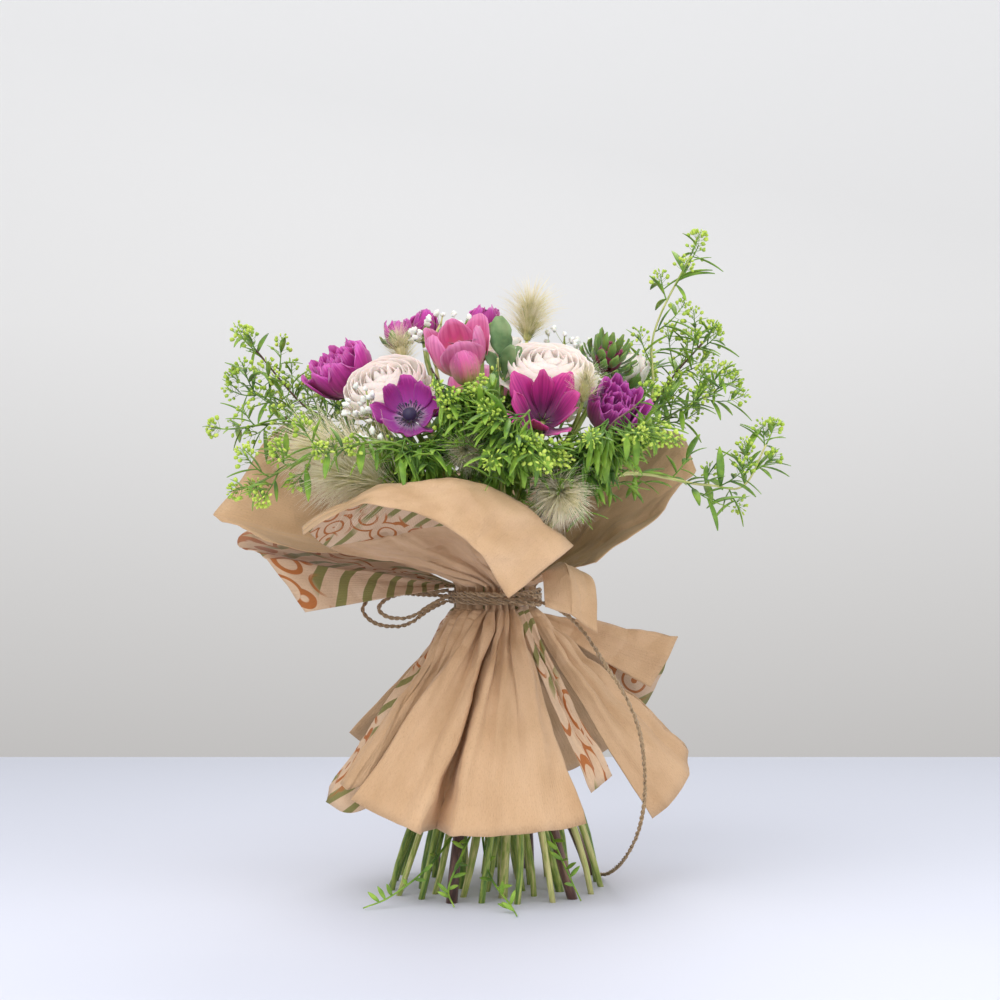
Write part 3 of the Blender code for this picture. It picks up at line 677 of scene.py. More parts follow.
def press_folds(bm, name, known, neck_row, rows, pleats, seed):
    """Moves every vertex of the sheet along its normal, as the folds and facets ask."""
    bm.normal_update()
    pushes = {}
    for v, (row_at, rail, share) in known.items():
        below = row_at < neck_row
        out, reach, level = folded_out(name, row_at, neck_row, rows, rail)
        ridge = fold_height(share, out, pleats, seed + (5 if below else 0))
        if name == "paper_front" and below:
            deep = max(0.0, 1 - abs(share - DEEP_PLEAT) / DEEP_PLEAT_WIDTH)
            ridge -= DEEP_PLEAT_DEPTH * deep * math.sin(math.pi * min(1, out * 0.9 + 0.08))
        pushes[v] = v.normal * (ridge * reach * level + crumple(v.co, seed) * min(1, out * 4))
    for v, push in pushes.items():
        v.co -= push


# %% [markdown]
# A sheet's columns are closer together than its pleats, so the folds have somewhere to bend. Its
# thickness comes from a Solidify modifier, which gives the back of the sheet its own finish.


# %% Sheets
COLUMN_STEP = 0.0105  # the widest gap between two columns, as a share of the sheet's width
HEM = 0.17  # share of the skirt's rows that shows the print along an "edge"
HEM_SHARE = 0.45  # and how much of the sheet's width shows it


def sheet_shares(pleats, rails):
    """Where the columns stand: on each pleat and corner, and close together between them."""
    shares = {round(k / (2 * pleats), 4) for k in range(2 * pleats + 1)}
    for _, known, _, _ in rails:
        for share in known:
            if min(abs(share - other) for other in shares) > 0.012:
                shares.add(round(share, 4))
    made = []
    ordered = sorted(shares)
    for a, b in zip(ordered, ordered[1:]):
        parts = max(1, math.ceil((b - a) / COLUMN_STEP))
        made += [a + (b - a) * k / parts for k in range(parts)]
    return made + [1.0]


def lay_print(bm, name, known, neck_row, rows):
    """Gives each face the finish of its side, and the sheet its flat pattern in metres."""
    _, _, print_up, print_down = FOLDS[name]
    flat_width, flat_length = FLAT_SIZES[name]
    uv = bm.loops.layers.uv["UVMap"]
    for face in bm.faces:
        places = [known[v] for v in face.verts]
        row_at = sum(place[0] for place in places) / 4
        rail = max(place[1] for place in places)
        share = sum(place[2] for place in places) / 4
        side = print_up if row_at > neck_row else print_down
        if side == "outer" or (side == "flap" and rail >= 1):
            face.material_index = 1
        elif side == "inner" or (side == "edge" and share < HEM_SHARE and row_at < neck_row * HEM):
            face.material_index = 2
        for loop in face.loops:
            at_row, _, at_share = known[loop.vert]
            loop[uv].uv = (at_share * flat_width, at_row / rows * flat_length)


def add_paper(row, finishes):
    name, arc, breaks, pleats, collar, skirt = row
    seed = len(name) * 1.7 + arc[0] * 0.13
    collar = [measured_rail(rail) for rail in collar]
    skirt = [measured_rail(rail) for rail in skirt]
    columns = []
    for share in sheet_shares(pleats, collar + skirt):
        top = on_neck(arc, pleats, share, NECK_BAND)
        bottom = on_neck(arc, pleats, share, -NECK_BAND)
        up = column_from(top, [on_rail(rail, share) for rail in collar], breaks[0], ROWS)
        down = column_from(bottom, [on_rail(rail, share) for rail in skirt], -breaks[1], ROWS)
        lower = [(point, -1, share) for point, _ in down[::-1]]
        columns.append(lower + [(point, rail, share) for point, rail in up])
    rows = len(columns[0])
    neck_row = len(down)
    bm = bmesh.new()
    bm.loops.layers.uv.new("UVMap")
    bmesh.ops.create_grid(bm, x_segments=rows - 1, y_segments=len(columns) - 1, size=1)
    known = {}
    for v in bm.verts:
        row_at = round((v.co.x + 1) / 2 * (rows - 1))
        column_at = round((v.co.y + 1) / 2 * (len(columns) - 1))
        v.co, rail, share = columns[column_at][row_at]
        known[v] = (row_at, rail, share)
    press_folds(bm, name, known, neck_row, rows, pleats, seed)
    lay_print(bm, name, known, neck_row, rows)
    piece = finished(name + "_kraft", bm, finishes, name)
    wall = piece.modifiers.new("thickness", "SOLIDIFY")
    wall.thickness = PAPER
    wall.offset = 0
    wall.material_offset = 1
    wall.material_offset_rim = 0
    return piece


# %% [markdown]
# ### Kraft and its printed side
#
# Kraft paper is mid brown, with short fibres, a faint rib from the mill's felt, cloudy patches and
# the dents of handling. The print on the other side is a plain design of its own: patches of olive
# blades next to patches of rust rings. Both finishes read the sheet's own UV map in metres, so the
# rib and the print follow the folds.


# %% Paper finishes
KRAFT_STOPS = [(0.32, (0.55, 0.340, 0.180)), (0.5, (0.625, 0.400, 0.225)), (0.7, (0.69, 0.455, 0.268))]
PALE_STOPS = [(0.32, (0.62, 0.42, 0.27)), (0.5, (0.68, 0.475, 0.31)), (0.7, (0.74, 0.53, 0.36))]
FLECK_STOPS = [(0.30, (0.62, 0.56, 0.50)), (0.45, (1, 1, 1)), (0.72, (1.06, 1.05, 1.03))]
OLIVE_INK = (0.23, 0.21, 0.06)
RUST_INK = (0.42, 0.13, 0.025)
BLACK, FULL = (0, 0, 0), (1, 1, 1)


def printed_over(add, flat, colour):
    """Olive blades and rust rings, each in patches where the other is not."""
    turned = add("Mapping", {"Vector": flat, "Rotation": (0, 0, 0.9)}).outputs[0]
    bending = {"Distortion": 3.0, "Detail": 1, "Detail Scale": 0.7}
    blades = add("TexWave", {"Vector": turned, "Scale": 30.0, **bending})
    blade = ramp(add, blades.outputs[1], [(0.66, BLACK), (0.72, FULL)])
    patches = add("TexNoise", {"Vector": flat, "Scale": 17.0, "Detail": 1}).outputs[0]
    here = ramp(add, patches, [(0.44, BLACK), (0.48, FULL)])
    olive = blend_in(add, 1.0, blade, here, "MULTIPLY")
    colour = blend_in(add, olive, colour, OLIVE_INK)
    cells = add("TexVoronoi", {"Vector": flat, "Scale": 62.0, "Randomness": 0.9}, feature="F1")
    ring = add("Math", {0: cells.outputs["Distance"], 1: 20.0}, operation="MULTIPLY")
    wave = add("Math", {0: ring.outputs[0]}, operation="SINE")
    line = ramp(add, wave.outputs[0], [(0.60, BLACK), (0.72, FULL)])
    there = ramp(add, patches, [(0.46, FULL), (0.50, BLACK)])
    rust = blend_in(add, 1.0, line, there, "MULTIPLY")
    return blend_in(add, rust, colour, RUST_INK)


def paper_finish(name, printed):
    add, wear = start_finish(name, 0.72, 0.1)
    flat = add("TexCoord", {}).outputs["UV"]
    fibre_place = add("Mapping", {"Vector": flat, "Scale": (2300, 1100, 1)})
    fibres = add("TexNoise", {"Vector": fibre_place.outputs[0], "Scale": 1.0, "Detail": 3}).outputs[0]
    clouds = add("TexNoise", {"Vector": flat, "Scale": 42.0, "Detail": 5}).outputs[0]
    rib = add("TexWave", {"Vector": flat, "Scale": 210.0, "Distortion": 0.6}, bands_direction="X").outputs[1]
    colour = ramp(add, clouds, PALE_STOPS if printed else KRAFT_STOPS)
    colour = blend_in(add, 0.35, colour, ramp(add, fibres, FLECK_STOPS), "MULTIPLY")
    if printed:
        colour = printed_over(add, flat, colour)
    height = add("Math", {0: rib, 1: 0.25}, operation="MULTIPLY").outputs[0]
    height = add("Math", {0: height, 1: fibres}, operation="ADD").outputs[0]
    for scale, depth in ((27.0, 17.0), (64.0, 3.5)):  # broad dents, then small ones
        dents = add("TexVoronoi", {"Vector": flat, "Scale": scale}, feature="DISTANCE_TO_EDGE").outputs[0]
        height = add("Math", {0: dents, 1: depth, 2: height}, operation="MULTIPLY_ADD").outputs[0]
    return wear(colour, height, 0.85, 0.00045)


KRAFT = paper_finish("kraft", False)
PRINTED = paper_finish("printed_kraft", True)
print("finishes:", KRAFT.name, "and", PRINTED.name)

# %% [markdown]
# A face's finish is its place in the list below, and Solidify gives its back the next one. So 0
# is kraft on both sides, 1 has the print on its back, which is the sheet's outer side, and 2 has
# it on its face, which is the inner side.

# %% The seven sheets
for sheet in SHEETS:
    add_paper(sheet, [KRAFT, KRAFT, PRINTED, KRAFT])

# %% [markdown]
# ## Where the stems run
#
# In a hand-tied bunch every stem crosses the tie in one tight bundle and splays below it in a
# spiral. The same packing rule as the solid's gives each stem its place, so that a flower's stem
# meets its head and no two stems share a spot.

# %% Stems' table
STEM_PITCH = 0.00545
STEM_GAP = 0.0001
FOOT_RINGS = (0.004, 0.026, 0.050, 0.072)
TWIST = math.radians(14)
WANDERING = 8  # points above the cut end where a stem is a little crooked
# name, kind, head's centre, the way it faces, head's radius, stem radius at the tie, at the foot
FLOWERS = (
    ("double_tulip_left", "double", (-0.106, 0.012, 0.350), (-0.5, -0.35, 0.8), 0.021, 0.0027, 0.0031),
    ("ranunculus_left", "globe", (-0.073, -0.025, 0.338), (-0.25, -0.55, 0.8), 0.026, 0.0023, 0.0025),
    ("anemone_front", "bowl", (-0.055, -0.080, 0.318), (-0.1, -0.85, 0.5), 0.022, 0.0021, 0.0022),
    ("half_open_bloom_left", "bud", (-0.068, 0.040, 0.377), (-0.1, 0.1, 1.0), 0.010, 0.0022, 0.0022),
    ("half_open_bloom_back_left", "bud", (-0.050, 0.062, 0.384), (0.0, 0.1, 1.0), 0.011, 0.0022, 0.0022),
    ("tulip_centre", "tulip", (-0.024, -0.040, 0.361), (-0.2, -0.45, 0.9), 0.018, 0.0025, 0.0031),
    ("half_open_bloom_top", "bud", (-0.008, 0.060, 0.386), (0.1, 0.1, 1.0), 0.013, 0.0022, 0.0022),
    ("ranunculus_cream", "globe", (-0.002, 0.018, 0.369), (0.0, -0.1, 1.0), 0.018, 0.0023, 0.0025),
    ("ranunculus_right", "globe", (0.036, -0.035, 0.348), (0.1, -0.5, 0.85), 0.027, 0.0023, 0.0025),
    ("tulip_front", "tulip", (0.032, -0.080, 0.322), (0.05, -0.8, 0.55), 0.020, 0.0025, 0.0031),
    ("double_tulip_right", "double", (0.078, -0.048, 0.322), (0.3, -0.6, 0.7), 0.019, 0.0027, 0.0031),
    ("half_open_bloom_right", "bud", (0.094, 0.032, 0.350), (0.4, 0.1, 0.9), 0.013, 0.0022, 0.0022),
    ("bracted_bud_right", "bracted", (0.077, -0.005, 0.357), (0.3, -0.2, 0.9), 0.017, 0.0021, 0.0022),
    ("ranunculus_back", "globe", (0.045, 0.085, 0.345), (0.2, 0.5, 0.8), 0.026, 0.0023, 0.0025),
    ("tulip_back", "tulip", (-0.015, 0.104, 0.335), (0.0, 0.6, 0.8), 0.019, 0.0025, 0.0031),
    ("double_tulip_back", "double", (-0.078, 0.088, 0.332), (-0.4, 0.5, 0.75), 0.020, 0.0027, 0.0031),
)
# name, plume's root, its tip, stem radius at the tie
PLUMES = (
    ("grass_plume_left", (-0.056, -0.078, 0.279), (-0.148, -0.060, 0.309), 0.0020),
    ("grass_plume_low_left", (-0.055, -0.096, 0.266), (-0.124, -0.106, 0.286), 0.0020),
    ("grass_plume_front", (-0.0175, -0.082, 0.289), (-0.0185, -0.110, 0.297), 0.0022),
    ("grass_plume_front_right", (0.040, -0.078, 0.275), (0.042, -0.112, 0.262), 0.0020),
    ("grass_plume_top", (0.022, 0.022, 0.372), (0.026, 0.026, 0.408), 0.0020),
    ("grass_plume_back_left", (-0.063, 0.019, 0.352), (-0.067, 0.016, 0.382), 0.0020),
    ("grass_plume_right", (0.057, -0.070, 0.326), (0.060, -0.080, 0.349), 0.0020),
)
# name, points that the stem passes above the tie, stem radius at the tie, at the foot
SPRAYS = (
    ("filler_right_top", ((0.100, 0.004, 0.310), (0.108, 0.0, 0.375), (0.133, 0.0, 0.428)), 0.0026, 0.0022),
    (
        "filler_right_low",
        ((0.070, -0.060, 0.274), (0.137, -0.040, 0.272), (0.166, -0.022, 0.271), (0.182, -0.020, 0.299)),
        0.0026, 0.0020,
    ),
    ("filler_right", ((0.092, 0.060, 0.300), (0.122, 0.040, 0.345), (0.143, 0.024, 0.370)), 0.0026, 0.0038),
    (
        "filler_right_middle",
        ((0.088, 0.020, 0.292), (0.124, 0.012, 0.322), (0.152, 0.008, 0.336)),
        0.0026, 0.0022,
    ),
    (
        "filler_left_top",
        ((-0.105, 0.045, 0.305), (-0.136, 0.038, 0.330), (-0.166, 0.030, 0.366)),
        0.0026, 0.0038,
    ),
    (
        "filler_left_middle",
        ((-0.106, -0.004, 0.308), (-0.140, 0.004, 0.322), (-0.168, 0.006, 0.338)),
        0.0026, 0.0022,
    ),
    (
        "filler_left_far",
        ((-0.108, -0.045, 0.300), (-0.140, -0.040, 0.312), (-0.172, -0.040, 0.309)),
        0.0026, 0.0022,
    ),
    (
        "filler_left_low",
        ((-0.050, -0.104, 0.290), (-0.105, -0.118, 0.292), (-0.150, -0.112, 0.272)),
        0.0026, 0.0022,
    ),
    ("filler_front_left", ((-0.030, -0.099, 0.320), (-0.040, -0.113, 0.345)), 0.0026, 0.0038),
    ("filler_front_middle", ((0.002, -0.068, 0.322), (0.002, -0.096, 0.352)), 0.0026, 0.0022),
    ("filler_front_right", ((0.064, -0.096, 0.296), (0.090, -0.096, 0.322)), 0.0026, 0.0036),
    ("filler_front_low", ((0.004, -0.104, 0.292), (0.022, -0.122, 0.318)), 0.0026, 0.0022),
    ("filler_back", ((0.012, 0.118, 0.300), (0.016, 0.134, 0.352)), 0.0026, 0.0038),
    ("filler_back_left", ((-0.098, 0.080, 0.300), (-0.118, 0.092, 0.344)), 0.0026, 0.0022),
    ("filler_back_right", ((0.082, 0.092, 0.310), (0.098, 0.104, 0.350)), 0.0026, 0.0022),
)
# name, points that the stem passes, then the ends of its side branches, which carry florets
GYPSOPHILA = (
    (
        "gypsophila_left",
        ((-0.074, -0.064, 0.300), (-0.084, -0.066, 0.334)),
        ((-0.090, -0.074, 0.318), (-0.078, -0.088, 0.306), (-0.080, -0.060, 0.322)),
    ),
    (
        "gypsophila_top",
        ((-0.040, 0.010, 0.350), (-0.036, 0.016, 0.389)),
        ((-0.052, 0.022, 0.378), (-0.024, 0.028, 0.384), (-0.046, 0.000, 0.374)),
    ),
    (
        "gypsophila_right",
        ((0.044, 0.022, 0.345), (0.048, 0.020, 0.376)),
        ((0.060, 0.030, 0.368), (0.036, 0.034, 0.372), (0.062, 0.012, 0.364)),
    ),
)
GYPSOPHILA_RADIUS = 0.0018
SAGE = ("spoon_leaves", ((0.004, -0.030, 0.322), (0.006, -0.034, 0.346)), 0.0022, 0.0021)


# %% [markdown]
# The florist lays the steepest stems first and turns each further one round them. So the stems
# are sorted by their lean, set in rings, and each ring is turned to bring its stems below their
# heads.

# %% Places in the tie
def tie_slots(targets, radii):
    """Each stem's ring and angle in the tied bundle, the steepest in the middle."""

    def lean(name):
        x, y, z = targets[name]
        return math.hypot(x, y) / (z - TIE_HEIGHT)

    def step(ring, first, second):
        reach = (radii[first] + radii[second] + STEM_GAP) / 2
        return 2 * math.asin(min(1, reach / (ring * STEM_PITCH)))

    names = sorted(targets, key=lean)
    slots = {names.pop(0): (0, 0.0)}
    ring = 1
    while names:
        here = [names.pop(0)]
        while names:
            trial = here + [names[0]]
            if sum(step(ring, a, b) for a, b in zip(trial, trial[1:] + trial[:1])) > math.tau:
                break
            here.append(names.pop(0))
        here.sort(key=lambda name: math.atan2(targets[name][1], targets[name][0]))
        steps = [step(ring, a, b) for a, b in zip(here, here[1:] + here[:1])]
        spare = (math.tau - sum(steps)) / len(here)
        angles = [sum(steps[:k]) + k * spare for k in range(len(here))]
        wanted = [math.atan2(targets[name][1], targets[name][0]) for name in here]
        drift = [want - angle for want, angle in zip(wanted, angles)]
        start = math.atan2(sum(map(math.sin, drift)), sum(map(math.cos, drift)))
        for name, angle in zip(here, angles):
            slots[name] = (ring, start + angle)
        ring += 1
    return slots


def ring_point(angle, radius, z):
    return Vector((radius * math.cos(angle), radius * math.sin(angle), z))


def stem_line(slot, route, arriving=None):
    """The stem's points from its cut end through the tie and along its route, and which is at the tie."""
    ring, angle = slot
    foot = ring_point(angle - TWIST, FOOT_RINGS[ring], 0)
    tied = ring_point(angle, ring * STEM_PITCH, TIE_HEIGHT)
    corners = [tied] + [Vector(point) for point in route]
    slopes = [UP * (corners[1] - tied).length]
    slopes += [(after - before) / 2 for before, after in zip(corners, corners[2:])]
    slopes.append(arriving or corners[-1] - corners[-2])
    points = hermite(foot, tied, tied - foot, UP * TIE_HEIGHT, 12)
    at_tie = len(points)
    for k in range(WANDERING):
        aside = noise.noise((angle * 9, k * 0.16, ring))
        ahead = noise.noise((angle * 9, k * 0.16, ring + 40))
        points[k] += Vector((aside, ahead, 0)) * (0.012 - 0.0014 * k)
    for k in range(len(corners) - 1):
        points += hermite(corners[k], corners[k + 1], slopes[k], slopes[k + 1], 8)
    return points + [corners[-1]], at_tie


targets = {row[0]: row[2] for row in FLOWERS}
targets.update({row[0]: row[1] for row in PLUMES})
targets.update({row[0]: row[1][0] for row in SPRAYS + GYPSOPHILA + (SAGE,)})
tie_radii = {row[0]: row[5] for row in FLOWERS}
tie_radii.update({row[0]: row[3] for row in PLUMES})
tie_radii.update({row[0]: row[2] for row in SPRAYS + (SAGE,)})
tie_radii.update({row[0]: GYPSOPHILA_RADIUS for row in GYPSOPHILA})
SLOTS = tie_slots(targets, tie_radii)
print("stems in the tie:", len(SLOTS))

# %% [markdown]
# Below the paper the stems differ: woody brown ones from the shrubs, thick pale green tulip
# stems, thin yellow-green ones from the fillers. A stem narrows from its cut end, and is slightly
# thicker every few points, where a leaf was stripped.


# %% Stems
NODE_SWELLING = 1.12
STEM_SIDES = 8


def add_stem(bm, growth, points, at_tie, foot, tied, tip, finish, chance, slim=0.0):
    """A stem that stands flat on the table and tapers to its tip, sooner where slim is higher."""
    radii = []
    for k in range(len(points)):
        if k <= at_tie:
            radii.append(foot + (tied - foot) * min(1, 1.5 * k / at_tie))
        else:
            share = (k - at_tie) / (len(points) - 1 - at_tie)
            radii.append(tip + (tied - tip) * (1 - share) * max(0.0, 1 - slim * share))
        if k % 5 == 3 and k < at_tie:
            radii[-1] *= NODE_SWELLING
    made = add_tube(bm, growth, points, radii, STEM_SIDES, finish, chance)
    for v in made:
        v.co.z = max(v.co.z, 0.0)
    ends = sorted(made, key=lambda v: v[growth][0])[:STEM_SIDES]
    for v in ends:
        v.co.z = 0.0


def stem_finish(name, dark, mid, light):
    """Streaks that run along the stem, each stem's tone shifted a little by chance."""
    add, wear = start_finish(name, 0.5, 0.1)
    grown = add("Attribute", {}, attribute_name="growth")
    place = add("Mapping", {"Vector": grown.outputs["Vector"], "Scale": (30, 7, 23)})
    streaks = add("TexNoise", {"Vector": place.outputs[0], "Scale": 1.0, "Detail": 4}).outputs[0]
    parts = add("SeparateXYZ", {"Vector": grown.outputs["Vector"]})
    tint = add("MapRange", {"Value": parts.outputs[2], "To Min": -0.20, "To Max": 0.20}).outputs[0]
    tinted = add("Math", {0: streaks, 1: tint}, operation="ADD").outputs[0]
    return wear(ramp(add, tinted, [(0.30, dark), (0.5, mid), (0.68, light)]), streaks, 0.4, 0.0005)


GREEN_STEM = stem_finish("green_stem", (0.10, 0.20, 0.03), (0.33, 0.42, 0.08), (0.66, 0.62, 0.26))
WOODY_STEM = stem_finish("woody_stem", (0.045, 0.020, 0.016), (0.13, 0.060, 0.045), (0.27, 0.16, 0.10))
print("finishes:", GREEN_STEM.name, "and", WOODY_STEM.name)

# %% [markdown]
# ## Petals
#
# A petal could be a flat card, but then a flower looks cut from paper. Here each petal is a grid
# bent round its flower's axis: a profile gives its middle line from base to tip, its width wraps
# part of the way round, and its rim ruffles. One rule makes every bloom; only the profiles, the
# number of petals and the ruffle change. A wall is then given to each petal, so it is a closed
# shape.


# %% Petals
PETAL_WALL = 0.00035
WIDEST = 0.62  # share of a petal's length where it is widest


def mixed(inner, outer, share):
    return inner + (outer - inner) * share


def bezier(profile, t):
    (r0, z0), (r1, z1), (r2, z2), (r3, z3) = profile
    a, b, c, d = (1 - t) ** 3, 3 * t * (1 - t) ** 2, 3 * t**2 * (1 - t), t**3
    return r0 * a + r1 * b + r2 * c + r3 * d, z0 * a + z1 * b + z2 * c + z3 * d


def petal_width(along, base=0.35, full=0.0):
    """How wide the petal is along its length: narrow at its base, round or full at its tip."""
    wide = base + (1 - base) * math.sin(min(1, along / WIDEST) * math.pi / 2)
    if along > WIDEST:
        wide *= mixed(math.sqrt(1 - ((along - WIDEST) / 0.44) ** 2), 1, full)
    return wide


def add_petal(
    bm, growth, place, profile, turn, spread, ruffle, chance,
    finish=0, base=0.35, curl=0.0, grid=(7, 8), full=0.0,
):
    """One petal, bent round the flower's axis. curl bends its sides out, ruffle waves its rim."""
    tint = chance.random()
    phase = chance.uniform(0, math.tau)
    tilt = chance.uniform(-0.08, 0.08)
    made = bmesh.ops.create_grid(bm, x_segments=grid[0], y_segments=grid[1], size=1)["verts"]
    for v in made:
        across, along = v.co.x, (v.co.y + 1) / 2
        reach = along * (1 - 0.16 * across**2 * along)
        radius, height = bezier(profile, reach)
        wave = ruffle * along**2.2 * math.sin(across * 4.6 + phase) * (0.3 + 0.7 * abs(across))
        fine = ruffle * 0.45 * along**4 * math.sin(across * 13 + phase * 2.3)
        radius += wave + curl * across**2 * along + tilt * radius * across
        height += fine + wave * 0.4
        angle = turn + spread * across * petal_width(along, base, full)
        v.co = place @ Vector((radius * math.cos(angle), radius * math.sin(angle), height))
        v[growth] = (along, across * 0.5 + 0.5, tint, 1)
    for face in faces_of(made):
        face.material_index = finish


def give_wall(bm, thickness=PETAL_WALL):
    """Turns open petals into closed ones."""
    bm.normal_update()
    bmesh.ops.solidify(bm, geom=bm.faces[:], thickness=thickness)
    bmesh.ops.recalc_face_normals(bm, faces=bm.faces[:])


def head_place(centre, facing):
    """A place whose Z axis is the flower's own axis."""
    turn = Vector(facing).normalized().to_track_quat("Z", "Y").to_matrix().to_4x4()
    return Matrix.Translation(Vector(centre)) @ turn


# %% [markdown]
# ### Petal finishes
#
# Petals let some light through, so their shadows are coloured: a little subsurface does this.
# Veins run from base to rim; the colour changes from throat to rim, and each petal differs a
# little from the next.


# %% Petal finishes
def petal_finish(name, stops, veins=0.35, vary=0.16, soft=0.12):
    add, wear = start_finish(name, 0.55, 0.25, soft)
    grown = add("Attribute", {}, attribute_name="growth")
    parts = add("SeparateXYZ", {"Vector": grown.outputs["Vector"]})
    place = add("Mapping", {"Vector": grown.outputs["Vector"], "Scale": (1.3, 15, 40)})
    streaks = add("TexNoise", {"Vector": place.outputs[0], "Scale": 1.0, "Detail": 3}).outputs[0]
    limits = {"From Min": 0.3, "From Max": 0.7, "To Min": -0.10, "To Max": 0.10}
    shift = add("MapRange", {"Value": streaks, **limits})
    along = add("Math", {0: parts.outputs[0], 1: shift.outputs[0]}, operation="ADD").outputs[0]
    colour = ramp(add, along, stops)
    dark = ramp(add, streaks, [(0.32, (0.45, 0.45, 0.5)), (0.6, (1, 1, 1))])
    colour = blend_in(add, veins, colour, dark, "MULTIPLY")
    level = add("MapRange", {"Value": parts.outputs[2], "To Min": 1 - vary, "To Max": 1 + vary}).outputs[0]
    colour = add("HueSaturation", {"Color": colour, "Value": level}).outputs[0]
    return wear(colour, streaks, 0.35, 0.0006)


# Each petal's colour from its throat to its rim, as red, green and blue at shares of its length
MAGENTA = petal_finish("magenta_petal", [
    (0.0, (0.15, 0.004, 0.08)), (0.45, (0.40, 0.012, 0.23)), (0.85, (0.55, 0.030, 0.36)),
    (1.0, (0.68, 0.12, 0.50)),
])
DEEP_PURPLE = petal_finish("purple_petal", [
    (0.0, (0.05, 0.003, 0.05)), (0.4, (0.26, 0.008, 0.19)), (0.85, (0.40, 0.025, 0.31)),
    (1.0, (0.56, 0.09, 0.45)),
])
PINK_TULIP = petal_finish("pink_tulip_petal", [
    (0.0, (0.36, 0.42, 0.08)), (0.30, (0.60, 0.44, 0.14)), (0.48, (0.80, 0.25, 0.30)),
    (0.72, (0.80, 0.12, 0.38)), (1.0, (0.84, 0.26, 0.52)),
])
DARK_TULIP = petal_finish("dark_tulip_petal", [
    (0.0, (0.03, 0.002, 0.03)), (0.38, (0.18, 0.004, 0.11)), (0.75, (0.55, 0.018, 0.28)),
    (1.0, (0.70, 0.07, 0.34)),
])
BLUSH = petal_finish("blush_petal", [
    (0.0, (0.89, 0.73, 0.58)), (0.4, (0.95, 0.83, 0.74)), (0.85, (0.98, 0.90, 0.83)),
    (1.0, (0.97, 0.83, 0.78)),
], 0.06, 0.04)
CREAM = petal_finish("cream_petal", [
    (0.0, (0.86, 0.76, 0.52)), (0.4, (0.95, 0.87, 0.74)), (0.85, (0.98, 0.93, 0.85)),
    (1.0, (0.97, 0.86, 0.79)),
], 0.06, 0.04)
ANEMONE = petal_finish("anemone_petal", [
    (0.0, (0.06, 0.004, 0.10)), (0.16, (0.62, 0.46, 0.62)), (0.34, (0.40, 0.04, 0.36)),
    (0.8, (0.36, 0.010, 0.27)), (1.0, (0.50, 0.05, 0.36)),
])
BURGUNDY = petal_finish("burgundy_bud", [
    (0.0, (0.06, 0.01, 0.02)), (0.5, (0.22, 0.01, 0.05)), (1.0, (0.36, 0.03, 0.14)),
])
CALYX = petal_finish("calyx", [
    (0.0, (0.06, 0.15, 0.025)), (0.6, (0.11, 0.26, 0.04)), (1.0, (0.18, 0.34, 0.06)),
], 0.25)
STAMEN = petal_finish("stamen", [
    (0.0, (0.02, 0.012, 0.05)), (0.6, (0.035, 0.02, 0.09)), (1.0, (0.10, 0.07, 0.20)),
])
print("finishes so far:", len(bpy.data.materials))

# %% [markdown]
# ## Blooms
#
# A ranunculus is dozens of thin petals set inside each other, with a few looser ones round them; a
# double tulip has some two dozen ruffled petals; the pink tulip is six broad ones with a closed bud
# beside it; the dark tulip is blown open; the anemone opens flat round a dark eye of stamens. Most
# of the petals follow the golden angle, as on the plant, so no seam lines up. Every profile is
# written in shares of the bloom's size, as (distance from the axis, height) from base to tip.


# %% Blooms
GLOBE_PETALS, GUARD_PETALS = 30, 10
DOUBLE_PETALS = 27
TULIP_PETALS = 6
OPEN_PETALS = 9
BUD_PETALS = 9
BUD_ASIDE = (0.50, -0.80, -0.10)  # the closed bud's place beside the pink tulip


def scaled(profile, size):
    return [(radius * size, height * size) for radius, height in profile]


def bloom_globe(bm, growth, place, size, chance):
    """Ranunculus: many petals, closed in the middle, opening outwards."""
    for k in range(GLOBE_PETALS):
        f = (k / (GLOBE_PETALS - 1)) ** 0.8
        profile = (
            (0.08, -0.62),
            (mixed(0.20, 0.85, f), -0.60),
            (mixed(0.24, 1.24, f), mixed(0.15, -0.02, f)),
            (mixed(0.03, 1.12, f), mixed(0.56, 0.26, f) * chance.uniform(0.86, 1.12)),
        )
        add_petal(
            bm, growth, place, scaled(profile, size), k * GOLDEN, mixed(1.45, 1.0, f),
            0.030 * size * (0.2 + f), chance, base=0.5, grid=(9, 7), full=0.75,
        )
    for k in range(GUARD_PETALS):
        drop = chance.uniform(-0.62, 0.10)
        profile = ((0.10, -0.62), (0.85, -0.68), (1.08, -0.25), (chance.uniform(1.14, 1.29), drop))
        turn = k * math.tau / GUARD_PETALS + 0.3
        add_petal(
            bm, growth, place, scaled(profile, size), turn, 0.66, 0.07 * size, chance,
            curl=-0.06 * size, full=0.6,
        )


def bloom_double(bm, growth, place, size, chance):
    """Double tulip: ruffled petals round one another, the outer ones taller."""
    for k in range(DOUBLE_PETALS):
        f = k / (DOUBLE_PETALS - 1)
        top = mixed(0.55, 0.80, f) * chance.uniform(0.85, 1.15)
        profile = (
            (0.10, -0.88),
            (mixed(0.35, 0.95, f), -0.80),
            (mixed(0.30, 1.15, f), mixed(0.10, 0.0, f)),
            (mixed(0.12, 1.18, f) * chance.uniform(0.9, 1.08), top * mixed(1.0, 0.85, f)),
        )
        add_petal(
            bm, growth, place, scaled(profile, size), k * GOLDEN, mixed(1.0, 0.50, f),
            mixed(0.05, 0.14, f) * size, chance, curl=0.05 * size,
        )


